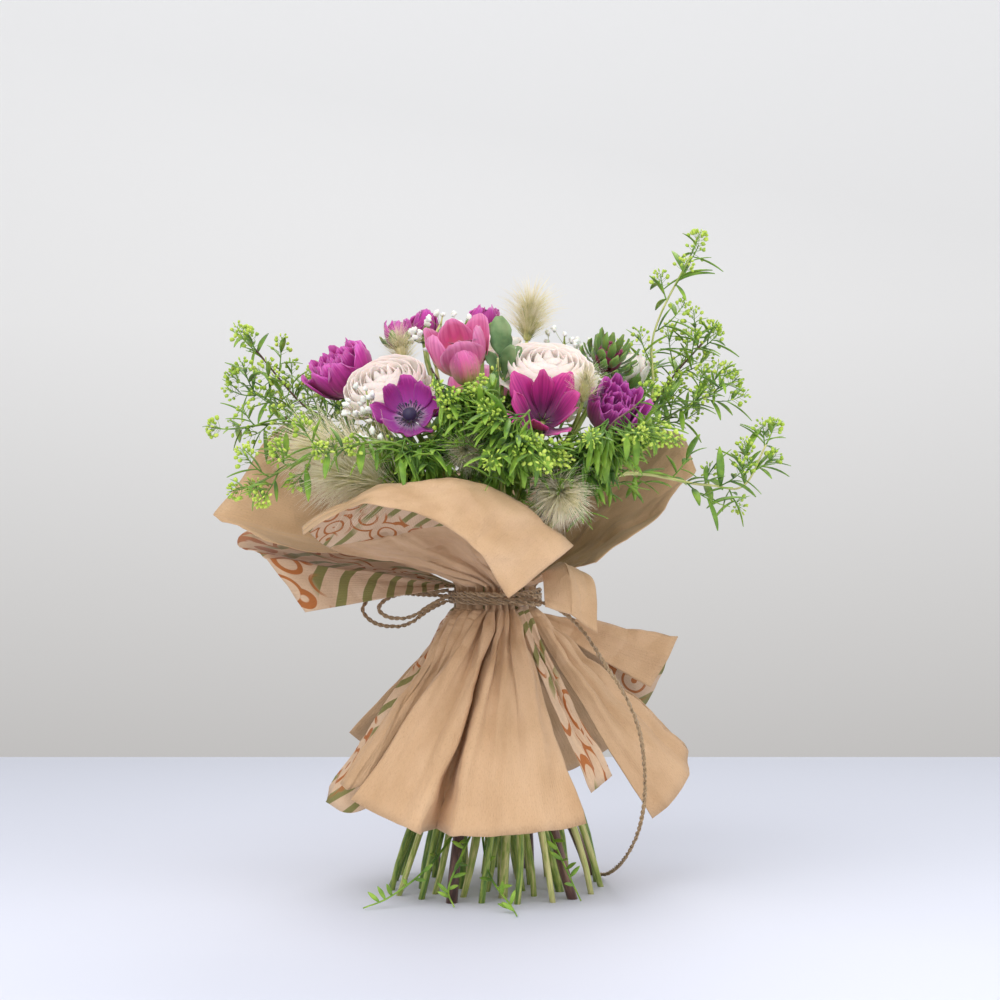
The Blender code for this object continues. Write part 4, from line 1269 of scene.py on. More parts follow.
def bloom_tulip(bm, growth, place, size, chance):
    """Tulip: six cupped petals, every other one leaning out, and a closed bud set against them."""
    for k in range(TULIP_PETALS):
        lean = chance.uniform(1.20, 1.50) if k % 2 else chance.uniform(0.85, 1.0)
        profile = ((0.10, -0.98), (0.95, -0.95), (1.20, 0.05), (lean, chance.uniform(0.86, 1.05)))
        add_petal(
            bm, growth, place, scaled(profile, size), k * math.tau / TULIP_PETALS, 0.80,
            0.05 * size, chance, base=0.5, curl=0.05 * size, grid=(9, 9), full=0.35,
        )
    beside = place @ Matrix.Translation(Vector(BUD_ASIDE) * size)
    for k in range(TULIP_PETALS):
        profile = ((0.08, -0.92), (0.70, -0.85), (0.80, 0.36), (chance.uniform(-0.04, 0.03), 0.86))
        add_petal(
            bm, growth, beside, scaled(profile, size), k * math.tau / TULIP_PETALS, 0.80,
            0.015 * size, chance, base=0.6, grid=(8, 9),
        )


def bloom_open_tulip(bm, growth, place, size, chance):
    """A tulip blown open, so that its dark throat shows."""
    for k in range(OPEN_PETALS):
        outer = k % 2
        profile = (
            (0.10, -0.85),
            (0.60, -0.85),
            (mixed(0.80, 1.05, outer), -0.1),
            (mixed(1.05, 1.45, outer) * chance.uniform(0.92, 1.06), mixed(0.55, 0.35, outer)),
        )
        turn = k * math.tau / OPEN_PETALS + 0.2
        add_petal(
            bm, growth, place, scaled(profile, size), turn, 0.50, 0.07 * size, chance,
            base=0.4, curl=0.04 * size,
        )


def bloom_bowl(bm, growth, place, size, chance):
    """Anemone: broad petals in two rings, a shallow bowl."""
    for k in range(OPEN_PETALS):
        outer = k % 2
        profile = (
            (0.12, -0.30),
            (0.55, -0.34),
            (0.85, mixed(0.02, -0.10, outer)),
            (mixed(0.88, 1.08, outer) * chance.uniform(0.94, 1.06), chance.uniform(0.30, 0.62)),
        )
        turn = k * math.tau / OPEN_PETALS + 0.5
        add_petal(
            bm, growth, place, scaled(profile, size), turn, 0.44, 0.05 * size, chance,
            base=0.5, curl=0.06 * size, grid=(8, 9),
        )


def bloom_bud(bm, growth, place, size, chance):
    """A half-open bloom: upright petals that close over one another."""
    for k in range(BUD_PETALS):
        f = k / (BUD_PETALS - 1)
        profile = (
            (0.16, -1.0),
            (mixed(0.8, 1.1, f), -0.75),
            (mixed(0.8, 1.15, f), 0.45),
            (mixed(0.25, 0.80, f), chance.uniform(0.85, 1.12)),
        )
        add_petal(
            bm, growth, place, scaled(profile, size), k * GOLDEN, 0.70, 0.09 * size, chance, base=0.45
        )


BRACTS = 46
STAMENS = 64
STAMEN_RADII = (0.00012, 0.00012, 0.00042, 0.00030)
# A flower's finishes: its petals, its green parts, its stem and its stamens, in this order
GREEN_PART, STEM_PART, STAMEN_PART = 1, 2, 3
BLOOMS = {
    "globe": bloom_globe,
    "double": bloom_double,
    "tulip": bloom_tulip,
    "bowl": bloom_bowl,
    "bud": bloom_bud,
    "bracted": bloom_bud,
}
print("kinds of bloom:", len(BLOOMS))


def add_calyx(bm, growth, place, size, count, length, chance, open_out=1.0):
    """Green sepals under the bloom."""
    for k in range(count):
        profile = (
            (0.14, -1.02),
            (0.75, -1.02),
            (1.12 * open_out, -0.5),
            (1.16 * open_out * chance.uniform(0.9, 1.15), -1.0 + length * chance.uniform(0.85, 1.2)),
        )
        add_petal(
            bm, growth, place, scaled(profile, size), k * math.tau / count, 2.0 / count,
            0.08 * size, chance, GREEN_PART, base=0.8, grid=(3, 6),
        )


def add_bracts(bm, growth, place, size, chance):
    """The bracted bud's short green leaves, curved up all over its ball."""
    for k in range(BRACTS):
        rise = mixed(-0.75, 0.85, k / (BRACTS - 1))
        ring = math.sqrt(1 - rise * rise)
        profile = (
            (0.40 * ring, rise * 0.35 - 0.3),
            (0.85 * ring, rise * 0.7 - 0.25),
            (1.15 * ring, rise * 0.95),
            (chance.uniform(0.95, 1.30) * ring, rise * 1.0 + chance.uniform(0.15, 0.42)),
        )
        add_petal(
            bm, growth, place, scaled(profile, size), k * GOLDEN, 0.17 / max(0.35, ring),
            0.05 * size, chance, GREEN_PART, base=0.7, grid=(3, 6),
        )


def add_eye(bm, growth, place, size, chance):
    """The anemone's eye: a domed boss in a ring of fine stamens."""
    boss = bmesh.ops.create_icosphere(bm, subdivisions=3, radius=0.22 * size)["verts"]
    for v in boss:
        rough = 1 + 0.10 * noise.noise(v.co * 2500)
        v.co = place @ Vector((v.co.x * rough, v.co.y * rough, v.co.z * 0.75 * rough - 0.08 * size))
        v[growth] = (0.5, 0.5, 0.5, 1)
    for face in faces_of(boss):
        face.material_index = STAMEN_PART
    for k in range(STAMENS):
        turn = k * GOLDEN
        reach = size * chance.uniform(0.30, 0.46)
        root = Vector((math.cos(turn) * size * 0.18, math.sin(turn) * size * 0.18, -0.24 * size))
        end = Vector((math.cos(turn) * reach, math.sin(turn) * reach, chance.uniform(-0.10, 0.12) * size))
        bend = (root + end) / 2 + Vector((0, 0, 0.04 * size))
        line = [place @ spot for spot in (root, bend, end, end + (end - bend) * 0.12)]
        add_tube(bm, growth, line, STAMEN_RADII, 4, STAMEN_PART)


# %% [markdown]
# Each flower is one piece: its stem, its calyx and its petals grew together. The stem comes last
# in the mesh because it is already closed and must not be given a wall.

# %% Flowers
PETALS_OF = {
    "double_tulip_left": MAGENTA,
    "double_tulip_right": DEEP_PURPLE,
    "double_tulip_back": MAGENTA,
    "ranunculus_left": BLUSH,
    "ranunculus_right": BLUSH,
    "ranunculus_cream": CREAM,
    "ranunculus_back": CREAM,
    "anemone_front": ANEMONE,
    "tulip_centre": PINK_TULIP,
    "tulip_front": DARK_TULIP,
    "tulip_back": PINK_TULIP,
    "half_open_bloom_left": MAGENTA,
    "half_open_bloom_back_left": MAGENTA,
    "half_open_bloom_top": MAGENTA,
    "half_open_bloom_right": BLUSH,
    "bracted_bud_right": BURGUNDY,
}
DEPTH_OF = {"globe": 0.58, "bowl": 0.34}  # how far below its centre a bloom meets its stem


def add_flower(row):
    name, kind, centre, facing, size, tied, foot = row
    chance = random.Random(name)
    facing = Vector(facing).normalized()
    place = head_place(centre, facing)
    if kind != "tulip":
        place = place @ Matrix.Rotation(chance.uniform(0, math.tau), 4, "Z")
    bm, growth = new_shape()
    make = bloom_open_tulip if name == "tulip_front" else BLOOMS[kind]
    make(bm, growth, place, size * (0.62 if kind == "bracted" else 1), chance)
    if kind == "globe":
        add_calyx(bm, growth, place, size * 0.6, 5, 0.6, chance)
    elif kind == "bud":
        add_calyx(bm, growth, place, size, 6, 1.1, chance, 1.05)
    elif kind == "bracted":
        add_bracts(bm, growth, place, size, chance)
    elif kind == "bowl":
        below = place @ Matrix.Translation((0, 0, -0.012))
        add_calyx(bm, growth, below, size * 0.9, 9, 1.2, chance, 1.2)
    give_wall(bm)
    if kind == "bowl":
        add_eye(bm, growth, place, size, chance)
    base = Vector(centre) - facing * size * DEPTH_OF.get(kind, 0.9)
    reach = (base - Vector((0, 0, TIE_HEIGHT))).length
    points, at_tie = stem_line(SLOTS[name], [base], facing * reach * 0.5)
    add_stem(bm, growth, points, at_tie, foot, tied, tied * 0.9, STEM_PART, chance.random())
    finished(name + "_flower", bm, [PETALS_OF[name], CALYX, GREEN_STEM, STAMEN], name)


for flower in FLOWERS:
    add_flower(flower)

# %% [markdown]
# ## Small shapes used many times
#
# Leaves, seed pods, grass bristles and gypsophila florets number in the hundreds or thousands.
# Each is made once with few faces, and then stamped where it grows. Separate full models of each
# would give the same look at a hundred times the cost.


# %% Leaf, pod, bristle and floret
def make_leaf(width=0.17, sag=0.20):
    """A narrow leaf one unit long, pointed at both ends, with a channel along it."""
    bm, growth = new_shape()
    made = bmesh.ops.create_grid(bm, x_segments=2, y_segments=6, size=1)["verts"]
    for v in made:
        across, along = v.co.x, (v.co.y + 1) / 2
        wide = width / 2 * (math.sin(math.pi * min(1, 0.04 + along * 0.94)) ** 0.8 + 0.02)
        v.co = Vector((across * wide, along, 0.35 * wide * abs(across) - sag * along**2))
        v[growth] = (along, across * 0.5 + 0.5, 0.5, 1)
    give_wall(bm, 0.02)
    return kept_small("leaf", bm)


def make_pod():
    """A flat round seed pod, notched at its tip."""
    bm, growth = new_shape()
    made = bmesh.ops.create_uvsphere(bm, u_segments=6, v_segments=4, radius=1)["verts"]
    for v in made:
        x, y, z = v.co
        v.co = Vector((x * 0.85, y * 0.36, z * (1.0 if z < 0.9 else 0.72) + 0.9))
        v[growth] = ((z + 1) / 2, x * 0.5 + 0.5, 0.5, 1)
    for face in bm.faces:
        face.material_index = 1
    return kept_small("pod", bm)


BRISTLE_RADII = (0.0066, 0.0058, 0.0040, 0.0012)


def make_bristle():
    """A three-sided hair one unit long that bends towards its tip."""
    bm, growth = new_shape()
    bend = ((0, 0, 0), (0, 0.36, 0.02), (0, 0.70, 0.09), (0, 1.0, 0.22))
    add_tube(bm, growth, [Vector(spot) for spot in bend], BRISTLE_RADII, 3)
    return kept_small("bristle", bm)


def make_floret():
    """A ruffled ball of tiny petals."""
    bm, growth = new_shape()
    made = bmesh.ops.create_icosphere(bm, subdivisions=2, radius=1)["verts"]
    for k, v in enumerate(made):
        push = (0.62, 1.05, 0.85)[k % 3] if v.co.z > -0.5 else 0.7
        v.co = Vector((v.co.x * push, v.co.y * push, v.co.z * push * 0.85))
        v[growth] = (push, 0.5, 0.5, 1)
    return kept_small("floret", bm)


LEAF, BROAD_LEAF = make_leaf(), make_leaf(0.25, 0.30)
POD, BRISTLE, FLORET = make_pod(), make_bristle(), make_floret()
print("leaf, pod, bristle, floret faces:", [len(small.polygons) for small in (LEAF, POD, BRISTLE, FLORET)])


def along_place(root, ahead, up, scale):
    """A place whose Y axis runs ahead from the root, with Z kept near up."""
    ahead = ahead.normalized()
    side = ahead.cross(up)
    if side.length < 1e-4:
        side = ahead.cross(Vector((1, 0, 0.1)))
    side.normalize()
    turn = Matrix((side, ahead, side.cross(ahead))).transposed().to_4x4()
    return Matrix.Translation(root) @ turn @ Matrix.Diagonal((*scale, 1))


# %% [markdown]
# ## Green fillers
#
# The filler is a branching herb: thin stems with narrow leaves, and at the tips loose racemes of
# round flat pods on short stalks. A side shoot leaves its stem at an angle, turns up to the
# light, and carries a raceme at its end.


# %% Fresh green finishes
def fresh_finish(name, dark, mid, light, roughness=0.5):
    add, wear = start_finish(name, roughness, 0.1, 0.05)
    here = add("TexCoord", {}).outputs["Object"]
    patches = add("TexNoise", {"Vector": here, "Scale": 75.0, "Detail": 3}).outputs[0]
    grown = add("Attribute", {}, attribute_name="growth")
    parts = add("SeparateXYZ", {"Vector": grown.outputs["Vector"]})
    tip = add("MapRange", {"Value": parts.outputs[0], "To Min": -0.06, "To Max": 0.08}).outputs[0]
    mixed_in = add("Math", {0: patches, 1: tip}, operation="ADD").outputs[0]
    veins = add("TexNoise", {"Vector": here, "Scale": 900.0, "Detail": 2}).outputs[0]
    return wear(ramp(add, mixed_in, [(0.34, dark), (0.50, mid), (0.68, light)]), veins, 0.3, 0.0004)


LEAF_GREEN = fresh_finish("leaf_green", (0.060, 0.16, 0.014), (0.15, 0.31, 0.022), (0.29, 0.49, 0.045))
POD_GREEN = fresh_finish("pod_green", (0.27, 0.45, 0.03), (0.44, 0.62, 0.06), (0.62, 0.76, 0.12))
print("finishes:", LEAF_GREEN.name, "and", POD_GREEN.name)


# %% Shoots
def bent_line(root, heading, length, lift, steps):
    """A line that leaves the root along its heading and turns upwards."""
    points, spot, way = [root], root.copy(), heading.normalized()
    for _ in range(steps):
        way = (way + UP * lift / steps).normalized()
        spot = spot + way * length / steps
        points.append(spot.copy())
    return points


def kept_inside(points, low, high):
    """Pulls a line's points back into a box."""
    return [Vector([min(max(p, a), b) for p, a, b in zip(point, low, high)]) for point in points]


# %% [markdown]
# A florist leaves no green in front of a bloom, and none shows in the hollow under the folded
# collar. The next tests keep leaves, shoots and pods out of both, and shoots close to the solid
# model's own box.


# %% Where green may grow
ROOM_LOW = cad_box[0] + Vector((-0.004, -0.004, 0.004))
ROOM_HIGH = cad_box[1] + Vector((0.004, 0.004, 0.002))
LEAF_ROOM = 0.004  # how far a leaf's tip may pass that room
BACK_BLOOM = 0.2  # a bloom that faces further back than this is not kept clear
# How far a bloom is kept clear, in shares of its size: in front of it, and below its centre
CLEAR, CLEAR_BELOW = 0.95, 0.95
CLEAR_OF_OPEN = 1.30
CLEAR_OF_CENTRE = 1.45
OPEN_FACES = {
    "ranunculus_left", "ranunculus_right", "double_tulip_left", "half_open_bloom_left",
    "half_open_bloom_back_left", "half_open_bloom_top", "tulip_front",
}
HOLLOW = ((-0.12, 0.035), -0.055, 0.262)  # its range of x, and what y and z stay below


def shades_a_bloom(spot):
    """True in front of a bloom's face, where a florist leaves no green."""
    for name, _, centre, facing, size, _, _ in FLOWERS:
        if facing[1] > BACK_BLOOM:
            continue
        off = spot - Vector(centre)
        clear, below = CLEAR_OF_OPEN if name in OPEN_FACES else CLEAR, CLEAR_BELOW
        if name == "tulip_centre":
            clear = below = CLEAR_OF_CENTRE
        if off.y < size * 0.5 and off.z > -size * below and math.hypot(off.x, off.z) < size * clear:
            return True
    return False


def under_the_flap(spot):
    """True in the hollow of the folded collar, where nothing green shows."""
    (left, right), front, top = HOLLOW
    return spot.z < top and spot.y < front and left < spot.x < right


# %% [markdown]
# A leaf is stamped at a slant that chance varies; a raceme is a spiral of pods on short stalks; a
# shoot is a bent line with leaves up its side and a raceme at its end. Where a shoot would cross a
# bloom's face it is bent down, and where that does not help it is left out.


# %% Leaves, racemes and shoots
RACEME_REACH = 0.0054
STALK_RADII = (0.00016, 0.00014, 0.00012)
POD_SIZES = (0.00180, 0.00105)  # at the start of a raceme, and at its tip
SHOOT_STEPS = 7
SHOOT_RADII = (0.00055, 0.00028)
LEAFY_SHARE = 0.72  # share of a shoot that bears leaves


def add_leaf(bm, root, heading, chance, length):
    out = (heading + Vector([chance.uniform(-0.5, 0.5) for _ in range(3)])).normalized()
    wide = length * chance.uniform(0.8, 1.2)
    end = root + out * length
    inside = all(a - LEAF_ROOM < p < b + LEAF_ROOM for p, a, b in zip(end, ROOM_LOW, ROOM_HIGH))
    if not inside or under_the_flap(end) or shades_a_bloom(end) or shades_a_bloom(root.lerp(end, 0.5)):
        return
    leaf = LEAF if chance.random() < 0.75 else BROAD_LEAF
    stamp(bm, leaf, along_place(root, out, UP, (wide, length, wide)))


def add_raceme(bm, growth, points, pods, chance):
    """Pods on short stalks, closer and smaller towards the tip."""
    for k in range(pods):
        share = (k / pods) ** 0.8
        at = share * (len(points) - 1)
        low = min(int(at), len(points) - 2)
        root = points[low].lerp(points[low + 1], at - low)
        ahead = (points[low + 1] - points[low]).normalized()
        side = ahead.orthogonal().normalized()
        side = Matrix.Rotation(k * GOLDEN, 3, ahead) @ side
        out = (side + ahead * mixed(0.35, 1.1, share)).normalized()
        stalk = RACEME_REACH * mixed(1.15, 0.55, share) * chance.uniform(0.8, 1.2)
        end = root + out * stalk
        if shades_a_bloom(end):
            continue
        add_tube(bm, growth, [root, root.lerp(end, 0.5), end], STALK_RADII, 3)
        size = mixed(*POD_SIZES, share**2) * chance.uniform(0.8, 1.2)
        place = along_place(end, out, side.cross(ahead), (size, size, size))
        stamp(bm, POD, place @ Matrix.Rotation(-math.pi / 2, 4, "X"))


def add_shoot(bm, growth, root, heading, length, chance, leaves, pods, lift=0.9, leaf=0.017):
    """A leafy side shoot, with a raceme at its end if it has pods."""
    points = kept_inside(bent_line(root, heading, length, lift, SHOOT_STEPS), ROOM_LOW, ROOM_HIGH)
    if shades_a_bloom(points[-1]) or shades_a_bloom(points[4]):
        lower = bent_line(root, heading - UP * 0.9, length * 0.7, 0.0, SHOOT_STEPS)
        points = kept_inside(lower, ROOM_LOW, ROOM_HIGH)
    if shades_a_bloom(points[-1]) or under_the_flap(points[-1]):
        return
    radii = [mixed(*SHOOT_RADII, k / SHOOT_STEPS) for k in range(SHOOT_STEPS + 1)]
    add_tube(bm, growth, points, radii, 4)
    for k in range(leaves):
        at = (k + 0.5) / leaves * LEAFY_SHARE * SHOOT_STEPS
        low = int(at)
        spot = points[low].lerp(points[low + 1], at - low)
        ahead = (points[low + 1] - points[low]).normalized()
        side = Matrix.Rotation(k * GOLDEN + chance.random(), 3, ahead) @ ahead.orthogonal().normalized()
        add_leaf(bm, spot, ahead * 0.8 + side, chance, leaf * chance.uniform(0.55, 1.1))
    if pods:
        add_raceme(bm, growth, points[4:], pods, chance)


# %% [markdown]
# Each spray has its own habit. The ones at the front hang low and fill the gaps between the
# blooms, so they get extra shoots in the crown of the bunch. A few short leafy twigs stay on the
# stems near the table, where the florist did not strip them.


# %% Sprays
# name: side shoots, their length, leaves on each, pods on each, leaf length, lift of the shoots
HABITS = {
    "filler_right_top": (9, 0.030, 4, 15, 0.024, 0.9),
    "filler_right_low": (12, 0.030, 6, 14, 0.025, 0.7),
    "filler_right": (15, 0.034, 6, 14, 0.021, 1.0),
    "filler_right_middle": (15, 0.033, 6, 14, 0.021, 1.0),
    "filler_left_top": (13, 0.030, 5, 14, 0.019, 1.0),
    "filler_left_middle": (12, 0.028, 5, 14, 0.019, 0.9),
    "filler_left_far": (8, 0.020, 4, 8, 0.021, 0.9),
    "filler_left_low": (16, 0.027, 5, 26, 0.020, 0.9),
    "filler_front_left": (24, 0.034, 7, 24, 0.020, 0.1),
    "filler_front_middle": (26, 0.038, 9, 14, 0.024, -0.1),
    "filler_front_right": (30, 0.040, 8, 24, 0.022, 0.2),
    "filler_front_low": (30, 0.042, 9, 22, 0.024, 0.1),
    "filler_back": (18, 0.036, 7, 12, 0.021, 0.9),
    "filler_back_left": (18, 0.036, 7, 12, 0.021, 0.9),
    "filler_back_right": (18, 0.036, 7, 12, 0.021, 0.9),
}
FULL_SPRAYS = ("filler_front_middle", "filler_left_low", "filler_front_left", "filler_back")
LOW_LIFT = 0.5  # a spray whose shoots lift less than this hangs low
CROWN = 0.276  # about the height of the front collar's crest
LOW_SHOOTS, CROWN_SHOOTS = 30, 26
TWIGS = {
    "filler_left_low": (
        ((-0.020, -0.030, 0.050), (-0.042, -0.062, 0.024), (-0.066, -0.086, 0.008), (-0.084, -0.092, 0.0012)),
    ),
    "filler_front_low": (
        ((-0.010, -0.030, 0.052), (-0.004, -0.066, 0.020), (0.010, -0.096, 0.004), (0.014, -0.118, 0.0012)),
        ((-0.010, -0.030, 0.052), (-0.022, -0.066, 0.030), (-0.030, -0.072, 0.010), (-0.026, -0.088, 0.0012)),
    ),
    "filler_front_right": (((0.030, -0.030, 0.056), (0.044, -0.056, 0.026), (0.056, -0.066, 0.0012)),),
}
TWIG_RADII = (0.0009, 0.0005)
TWIG_LEAVES = 9
WOODY_FOOT = 0.003  # a stem thicker than this at its cut end is woody


def add_side_shoots(bm, growth, upper, name, chance):
    """Shoots all round the upper stem; the first third of them bears no pods."""
    shoots, reach, leaves, pods, leaf, lift = HABITS[name]
    for k in range(shoots):
        at = (k + chance.random()) / shoots * (len(upper) - 1.001)
        low = int(at)
        root = upper[low].lerp(upper[low + 1], at - low)
        ahead = (upper[low + 1] - upper[low]).normalized()
        side = Matrix.Rotation(k * GOLDEN, 3, ahead) @ ahead.orthogonal().normalized()
        length = reach * chance.uniform(0.7, 1.2) * mixed(1.15, 0.75, k / shoots)
        bears = pods if k > shoots * 0.35 else 0
        heading = ahead * (0.8 if lift > LOW_LIFT else 0.2) + side
        add_shoot(bm, growth, root, heading, length, chance, leaves, bears, lift, leaf)


def add_low_shoots(bm, growth, stem, chance):
    """Leafy shoots that leave a hanging spray where it passes the collar."""
    high = [point for point in stem if point.z > CROWN]
    for k in range(LOW_SHOOTS):
        root = high[k % min(5, len(high))] + Vector((0, 0, chance.uniform(0, 0.006)))
        out = Vector((chance.uniform(-1, 1), chance.uniform(-0.8, 1.0), chance.uniform(0.1, 1.0)))
        add_shoot(bm, growth, root, out, chance.uniform(0.026, 0.044), chance, 9, 0, 0.3, 0.022)


def add_crown_shoots(bm, growth, stem, chance, from_behind):
    """Shoots that fill the crown between the blooms; one in three bears pods."""
    high = [point for point in stem if CROWN + 0.002 < point.z < 0.33 and point.x > -0.06]
    for k in range(CROWN_SHOOTS):
        root = high[k % len(high)] + Vector((0, 0, chance.uniform(0, 0.006)))
        out = Vector((chance.uniform(-1.1, 0.6), chance.uniform(-0.2, 0.8), chance.uniform(0.3, 1.1)))
        if from_behind:
            out.y = -abs(out.y) - 0.4
        length = chance.uniform(0.024, 0.046)
        add_shoot(bm, growth, root, out, length, chance, 8, 0 if k % 3 else 8, 0.4, 0.021)


def add_twig(bm, growth, corners, chance):
    """A twig on the table, with leaves that stay above it."""
    line = smooth_route(corners, 5)
    last = len(line) - 1
    add_tube(bm, growth, line, [mixed(*TWIG_RADII, k / last) for k in range(len(line))], 5)
    for k in range(TWIG_LEAVES):
        spot = line[2 + k * (len(line) - 4) // TWIG_LEAVES]
        out = Vector((chance.uniform(-1, 1), chance.uniform(-1, 0.4), chance.uniform(0.0, 0.8)))
        end = spot + out.normalized() * 0.012
        end.z = max(0.0015, end.z)
        stamp(bm, LEAF, along_place(spot, end - spot, Vector((0, -1, 0.6)), (0.016, 0.010, 0.005)))


def add_spray(row):
    name, route, tied, foot = row
    chance = random.Random(name)
    _, _, _, _, leaf, lift = HABITS[name]
    points, at_tie = stem_line(SLOTS[name], route)
    bm, growth = new_shape()
    add_side_shoots(bm, growth, points[at_tie + 4:], name, chance)
    if lift < LOW_LIFT:
        add_low_shoots(bm, growth, points[at_tie:], chance)
    if name in FULL_SPRAYS:
        add_crown_shoots(bm, growth, points[at_tie:], chance, name == "filler_back")
    for corners in TWIGS.get(name, ()):
        add_twig(bm, growth, corners, chance)
    add_shoot(bm, growth, points[-1], points[-1] - points[-2], 0.016, chance, 2, 22, 0.3, leaf * 0.6)
    stem = 3 if foot > WOODY_FOOT else 2
    add_stem(bm, growth, points, at_tie, foot, tied, 0.0007, stem, chance.random(), 1.6)
    finishes = [LEAF_GREEN, POD_GREEN, GREEN_STEM, WOODY_STEM]
    finished(name + "_herb", bm, finishes, name)


for spray in SPRAYS:
    add_spray(spray)

# %% [markdown]
# ## Grass plumes
#
# Each plume is a soft ear of fountain grass: from some four hundred to fifteen hundred bristles
# that stand off a thin core. A hair system would render well but leave nothing to export, so the
# bristles are real three-sided hairs.


# %% Grass
def grass_finish():
    add, wear = start_finish("grass_bristle", 0.6, 0.4, 0.05)
    grown = add("Attribute", {}, attribute_name="growth")
    parts = add("SeparateXYZ", {"Vector": grown.outputs["Vector"]})
    here = add("TexCoord", {}).outputs["Object"]
    patches = add("TexNoise", {"Vector": here, "Scale": 130.0, "Detail": 2}).outputs[0]
    limits = {"From Min": 0.3, "From Max": 0.7, "To Min": -0.25, "To Max": 0.25}
    shift = add("MapRange", {"Value": patches, **limits})
    along = add("Math", {0: parts.outputs[0], 1: shift.outputs[0]}, operation="ADD").outputs[0]
    stops = [(0.0, (0.40, 0.44, 0.09)), (0.25, (0.74, 0.68, 0.27)), (0.7, (0.97, 0.87, 0.62))]
    return wear(ramp(add, along, stops), patches, 0.1, 0.0002)


GRASS = grass_finish()
# name: how many bristles, how long, how thick the core is
EARS = {
    "grass_plume_left": (1500, 0.040, 0.0046),
    "grass_plume_low_left": (1200, 0.036, 0.0044),
    "grass_plume_front": (620, 0.022, 0.0040),
    "grass_plume_front_right": (1100, 0.031, 0.0034),
    "grass_plume_top": (800, 0.027, 0.0036),
    "grass_plume_back_left": (420, 0.019, 0.0036),
    "grass_plume_right": (380, 0.017, 0.0030),
}


CORE_SHARE = 0.62  # the core's length, as a share of the plume's; the bristles make up the rest
LEAST_WIDTH = 0.02  # a short bristle keeps the thickness of one this long


def add_plume(row):
    name, root, tip, tied = row
    chance = random.Random(name)
    count, long, core = EARS[name]
    root, tip = Vector(root), Vector(tip)
    along = (tip - root).normalized()
    reach = (tip - root).length
    bm, growth = new_shape()
    reach *= CORE_SHARE
    ear = [root + along * reach * k / 8 for k in range(9)]
    girth = [core * (0.45 + 0.55 * math.sin(math.pi * min(1, 0.12 + k / 8 * 0.8))) for k in range(9)]
    girth[-2:] = [core * 0.35, core * 0.06]
    for v in add_tube(bm, growth, ear, girth, 8):
        v[growth] = (0.32, 0, 0.5, 1)
    side = along.orthogonal().normalized()
    for k in range(count):
        share = ((k + chance.random()) / count) ** 0.9
        out = Matrix.Rotation(k * GOLDEN, 3, along) @ side
        spot = root + along * reach * share * 0.99 + out * core * 0.5 * (1 - share**4)
        spread = mixed(1.0, 0.10 + 0.75 * (k % 2), share) * chance.uniform(0.5, 1.2)
        heading = (out * spread + along * chance.uniform(0.7, 1.3) - UP * 0.3 * share).normalized()
        length = long * chance.uniform(0.55, 1.1) * mixed(0.9, 1.0, share)
        lifted = (UP * -0.6 + out).normalized()
        wide = max(length, LEAST_WIDTH)
        stamp(bm, BRISTLE, along_place(spot, heading, lifted, (wide, length, length * 0.8)))
    reach_back = (root - Vector((0, 0, TIE_HEIGHT))).length
    points, at_tie = stem_line(SLOTS[name], [root], along * reach_back * 0.5)
    add_stem(bm, growth, points, at_tie, tied, tied, 0.0012, 1, chance.random())
    finished(name + "_ear", bm, [GRASS, GREEN_STEM], name)


for plume in PLUMES:
    add_plume(plume)

# %% [markdown]
# ## Gypsophila and the sage-green sprig
#
# Gypsophila is a cloud of tiny white double florets on forking threads. Round each fork's end a
# few florets cluster. The sprig has soft grey-green leaves shaped like spoons.


# %% Gypsophila
def floret_finish():
    add, wear = start_finish("white_floret", 0.6, 0.2, 0.1)
    grown = add("Attribute", {}, attribute_name="growth")
    parts = add("SeparateXYZ", {"Vector": grown.outputs["Vector"]})
    rim = parts.outputs[0]
    stops = [(0.6, (0.80, 0.82, 0.70)), (0.85, (0.95, 0.95, 0.92)), (1.0, (0.98, 0.98, 0.97))]
    return wear(ramp(add, rim, stops), rim, 0.2)


WHITE = floret_finish()


FORK_RADII = (0.0004, 0.00035, 0.0003)
THREAD_RADII = (0.00022, 0.0002, 0.0002)
FLORETS_AT_FORK, FLORETS_AT_TOP = 8, 3
CLUSTER = 0.0095  # how far the florets stand from their fork's end
FLORET_SIZE = 0.0030


def add_gypsophila(row):
    name, route, ends = row
    chance = random.Random(name)
    points, at_tie = stem_line(SLOTS[name], route)
    bm, growth = new_shape()
    fork = min(points, key=lambda point: (point - Vector(route[0])).length)
    for end in [Vector(end) for end in ends] + [points[-1]]:
        add_tube(bm, growth, [fork, fork.lerp(end, 0.5) + UP * 0.002, end], FORK_RADII, 4, 1)
        for k in range(FLORETS_AT_TOP if end == points[-1] else FLORETS_AT_FORK):
            out = Vector((chance.uniform(-1, 1), chance.uniform(-1, 0.6), chance.uniform(-1, 0.9)))
            out.normalize()
            spot = end + out * (CLUSTER * chance.uniform(0.55, 1.15) if k else 0)
            if k:
                knee = fork.lerp(end, 0.78)
                thread = [knee, knee.lerp(spot, 0.5) - UP * 0.0006, spot]
                add_tube(bm, growth, thread, THREAD_RADII, 3, 1)
            size = FLORET_SIZE * chance.uniform(0.7, 1.1)
            turn = Matrix.Rotation(chance.uniform(0, math.tau), 4, out)
            stamp(bm, FLORET, Matrix.Translation(spot) @ turn @ Matrix.Diagonal((size, size, size, 1)))
    add_stem(bm, growth, points, at_tie, 0.0012, GYPSOPHILA_RADIUS, 0.0005, 1, chance.random())
    finished(name + "_cloud", bm, [WHITE, GREEN_STEM], name)


for cloud in GYPSOPHILA:
    add_gypsophila(cloud)

# %% [markdown]
# The sage-green sprig grows in the middle. A spoon-shaped leaf is a grid whose width follows a
# circle at its end and a narrow stalk below it; five of them are stamped round the stem's top.

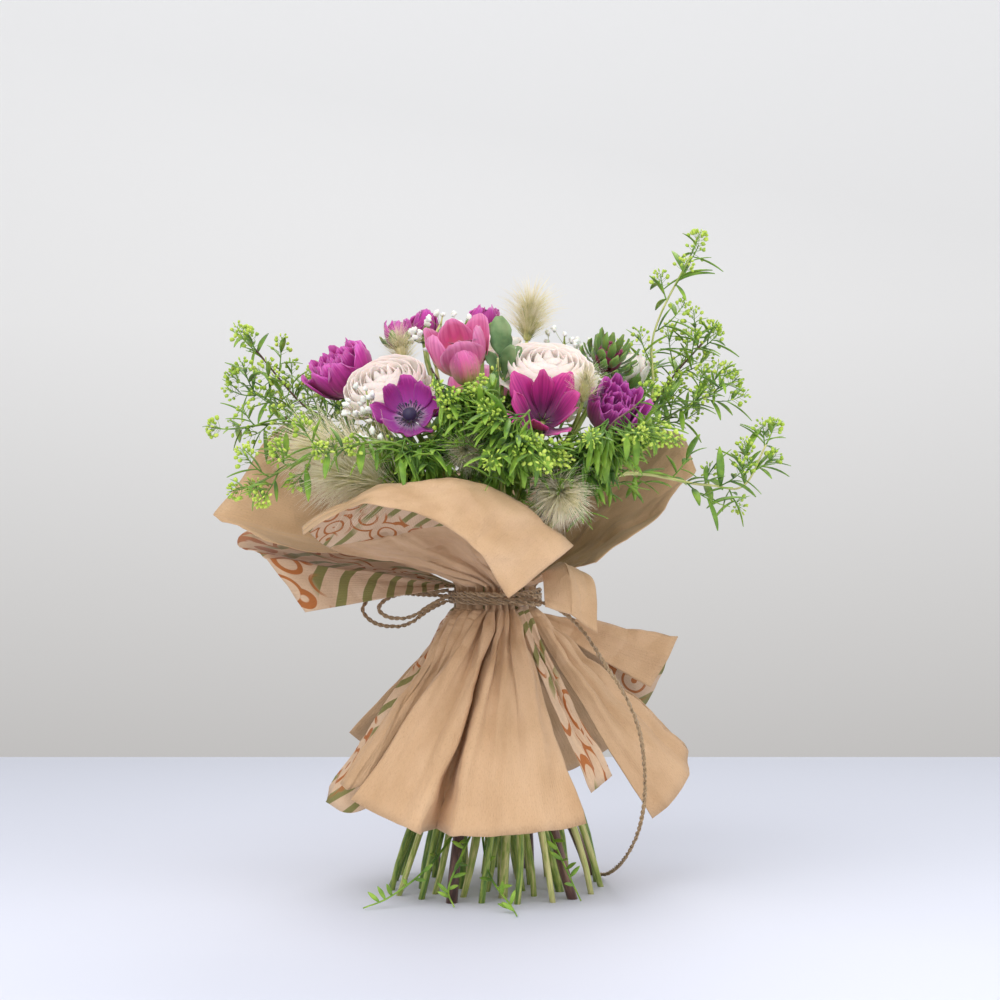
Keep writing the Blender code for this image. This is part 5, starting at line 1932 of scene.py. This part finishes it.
# %% Spoon leaves
SAGE_GREEN = fresh_finish("sage_green", (0.06, 0.14, 0.05), (0.13, 0.25, 0.09), (0.26, 0.38, 0.17), 0.65)


def make_spoon():
    """A leaf with a narrow stalk and a round, dished end."""
    bm, growth = new_shape()
    made = bmesh.ops.create_grid(bm, x_segments=6, y_segments=12, size=1)["verts"]
    for v in made:
        across, along = v.co.x, (v.co.y + 1) / 2
        round_end = math.sqrt(max(0.0, 1 - ((along - 0.66) / 0.34) ** 2)) if along > 0.34 else 0
        wide = 0.035 + 0.15 * max(round_end, along * 0.5)
        if along > 0.97:
            wide = 0.05
        lobes = 1 + 0.09 * math.sin(along * 26)
        v.co = Vector((across * wide * lobes, along, 0.25 * (across * wide) ** 2 / 0.1 - 0.10 * along**2))
        v[growth] = (along, across * 0.5 + 0.5, 0.5, 1)
    give_wall(bm, 0.02)
    return kept_small("spoon", bm)


SPOON = make_spoon()
sprig, route, tied, foot = SAGE
points, at_tie = stem_line(SLOTS[sprig], route)
bm, growth = new_shape()
SPOON_LEAVES = (  # which point of the stem it grows from, the way it points, its length
    (-1, (-0.003, -0.006, 0.036), 0.038),
    (-4, (0.005, -0.013, 0.020), 0.026),
    (-3, (-0.012, -0.010, 0.020), 0.022),
    (-2, (0.012, 0.004, 0.024), 0.024),
    (-5, (0.014, -0.016, 0.008), 0.022),
)
for at, heading, length in SPOON_LEAVES:
    place = along_place(points[at], Vector(heading), Vector((0, -1, 0.6)), (length, length, length))
    stamp(bm, SPOON, place)
add_stem(bm, growth, points, at_tie, foot, tied, 0.0009, 1, 0.4)
finished(sprig + "_sprig", bm, [SAGE_GREEN, GREEN_STEM], sprig)

# %% [markdown]
# ## Table, wall and light
#
# The bunch stands on a pale table with its far edge in view and a light grey wall behind. Both carry painted
# light in their colour: the table darkens towards its far edge and the wall towards its foot. A broad light
# from above and the left, a fill from the right, a light behind and a bright sky give soft shadows.

# %% Stage
TABLE_EDGE = 0.747


def gradient_with_painted_light(name, stops, roughness, axis):
    """One colour that changes along an axis, as painted light: on the table (1, away) it darkens towards the
    far edge, on the wall (2, up) it darkens towards the foot.
    """
    add, wear = start_finish(name, roughness)
    here = add("TexCoord", {}).outputs["Object"]
    parts = add("SeparateXYZ", {"Vector": here})
    level = add("MapRange", {"Value": parts.outputs[axis], "From Min": -1.2, "From Max": 1.6}).outputs[0]
    return wear(ramp(add, level, stops))


def add_stage(name, corners, finish):
    bm = bmesh.new()
    bmesh.ops.contextual_create(bm, geom=[bm.verts.new(corner) for corner in corners])
    mesh = bpy.data.meshes.new(name)
    bm.to_mesh(mesh)
    bm.free()
    mesh.materials.append(finish)
    obj = bpy.data.objects.new(name, mesh)
    bpy.context.scene.collection.objects.link(obj)


# Painted light on the table: brightest near the front, with painted shade darkening it towards the far edge.
TABLE_PAINTED_LIGHT_STOPS = [(0.0, (0.74, 0.765, 0.88)), (0.35, (0.70, 0.725, 0.835)), (0.68, (0.50, 0.52, 0.595))]
# Painted shade on the wall: darkest low down by the table, lighter higher up.
WALL_PAINTED_SHADE_STOPS = [(0.30, (0.60, 0.585, 0.57)), (0.66, (0.90, 0.895, 0.89)), (0.9, (0.97, 0.97, 0.97))]
TABLE_WITH_PAINTED_LIGHT = gradient_with_painted_light("pale_table", TABLE_PAINTED_LIGHT_STOPS, 0.6, 1)
WALL_WITH_PAINTED_SHADE = gradient_with_painted_light("grey_wall", WALL_PAINTED_SHADE_STOPS, 0.9, 2)
add_stage("table", [(-3, -3, 0), (3, -3, 0), (3, TABLE_EDGE, 0), (-3, TABLE_EDGE, 0)], TABLE_WITH_PAINTED_LIGHT)
add_stage("wall", [(-5, 3.2, -2), (5, 3.2, -2), (5, 3.2, 4), (-5, 3.2, 4)], WALL_WITH_PAINTED_SHADE)


def add_light(name, place, aim, size, power, colour=(1, 1, 1)):
    lamp = bpy.data.lights.new(name, "AREA")
    lamp.size = size
    lamp.energy = power
    lamp.color = colour
    obj = bpy.data.objects.new(name, lamp)
    obj.location = place
    obj.rotation_euler = (Vector(aim) - Vector(place)).to_track_quat("-Z", "Y").to_euler()
    bpy.context.scene.collection.objects.link(obj)


add_light("key", (-0.9, -1.5, 2.0), (0, 0, 0.2), 2.2, 36, (1.0, 0.985, 0.97))
add_light("fill", (1.8, -1.2, 1.0), (0, 0, 0.25), 1.8, 15)
add_light("back", (0.4, 2.0, 2.2), (0, 0, 0.25), 1.5, 22)
world = bpy.data.worlds.new("studio")
world.use_nodes = True
world.node_tree.nodes["Background"].inputs["Color"].default_value = (0.985, 0.99, 1.0, 1)
world.node_tree.nodes["Background"].inputs["Strength"].default_value = 0.70
bpy.context.scene.world = world
bpy.context.scene.view_settings.view_transform = "Standard"
print("stage and lights are set")

# %% [markdown]
# ## Last update
#
# The solid model's box was taken at the start; the view layer is brought up to date. Looks may
# stand a little proud of the solid model, but no more.

# %% Last update
bpy.context.view_layer.update()
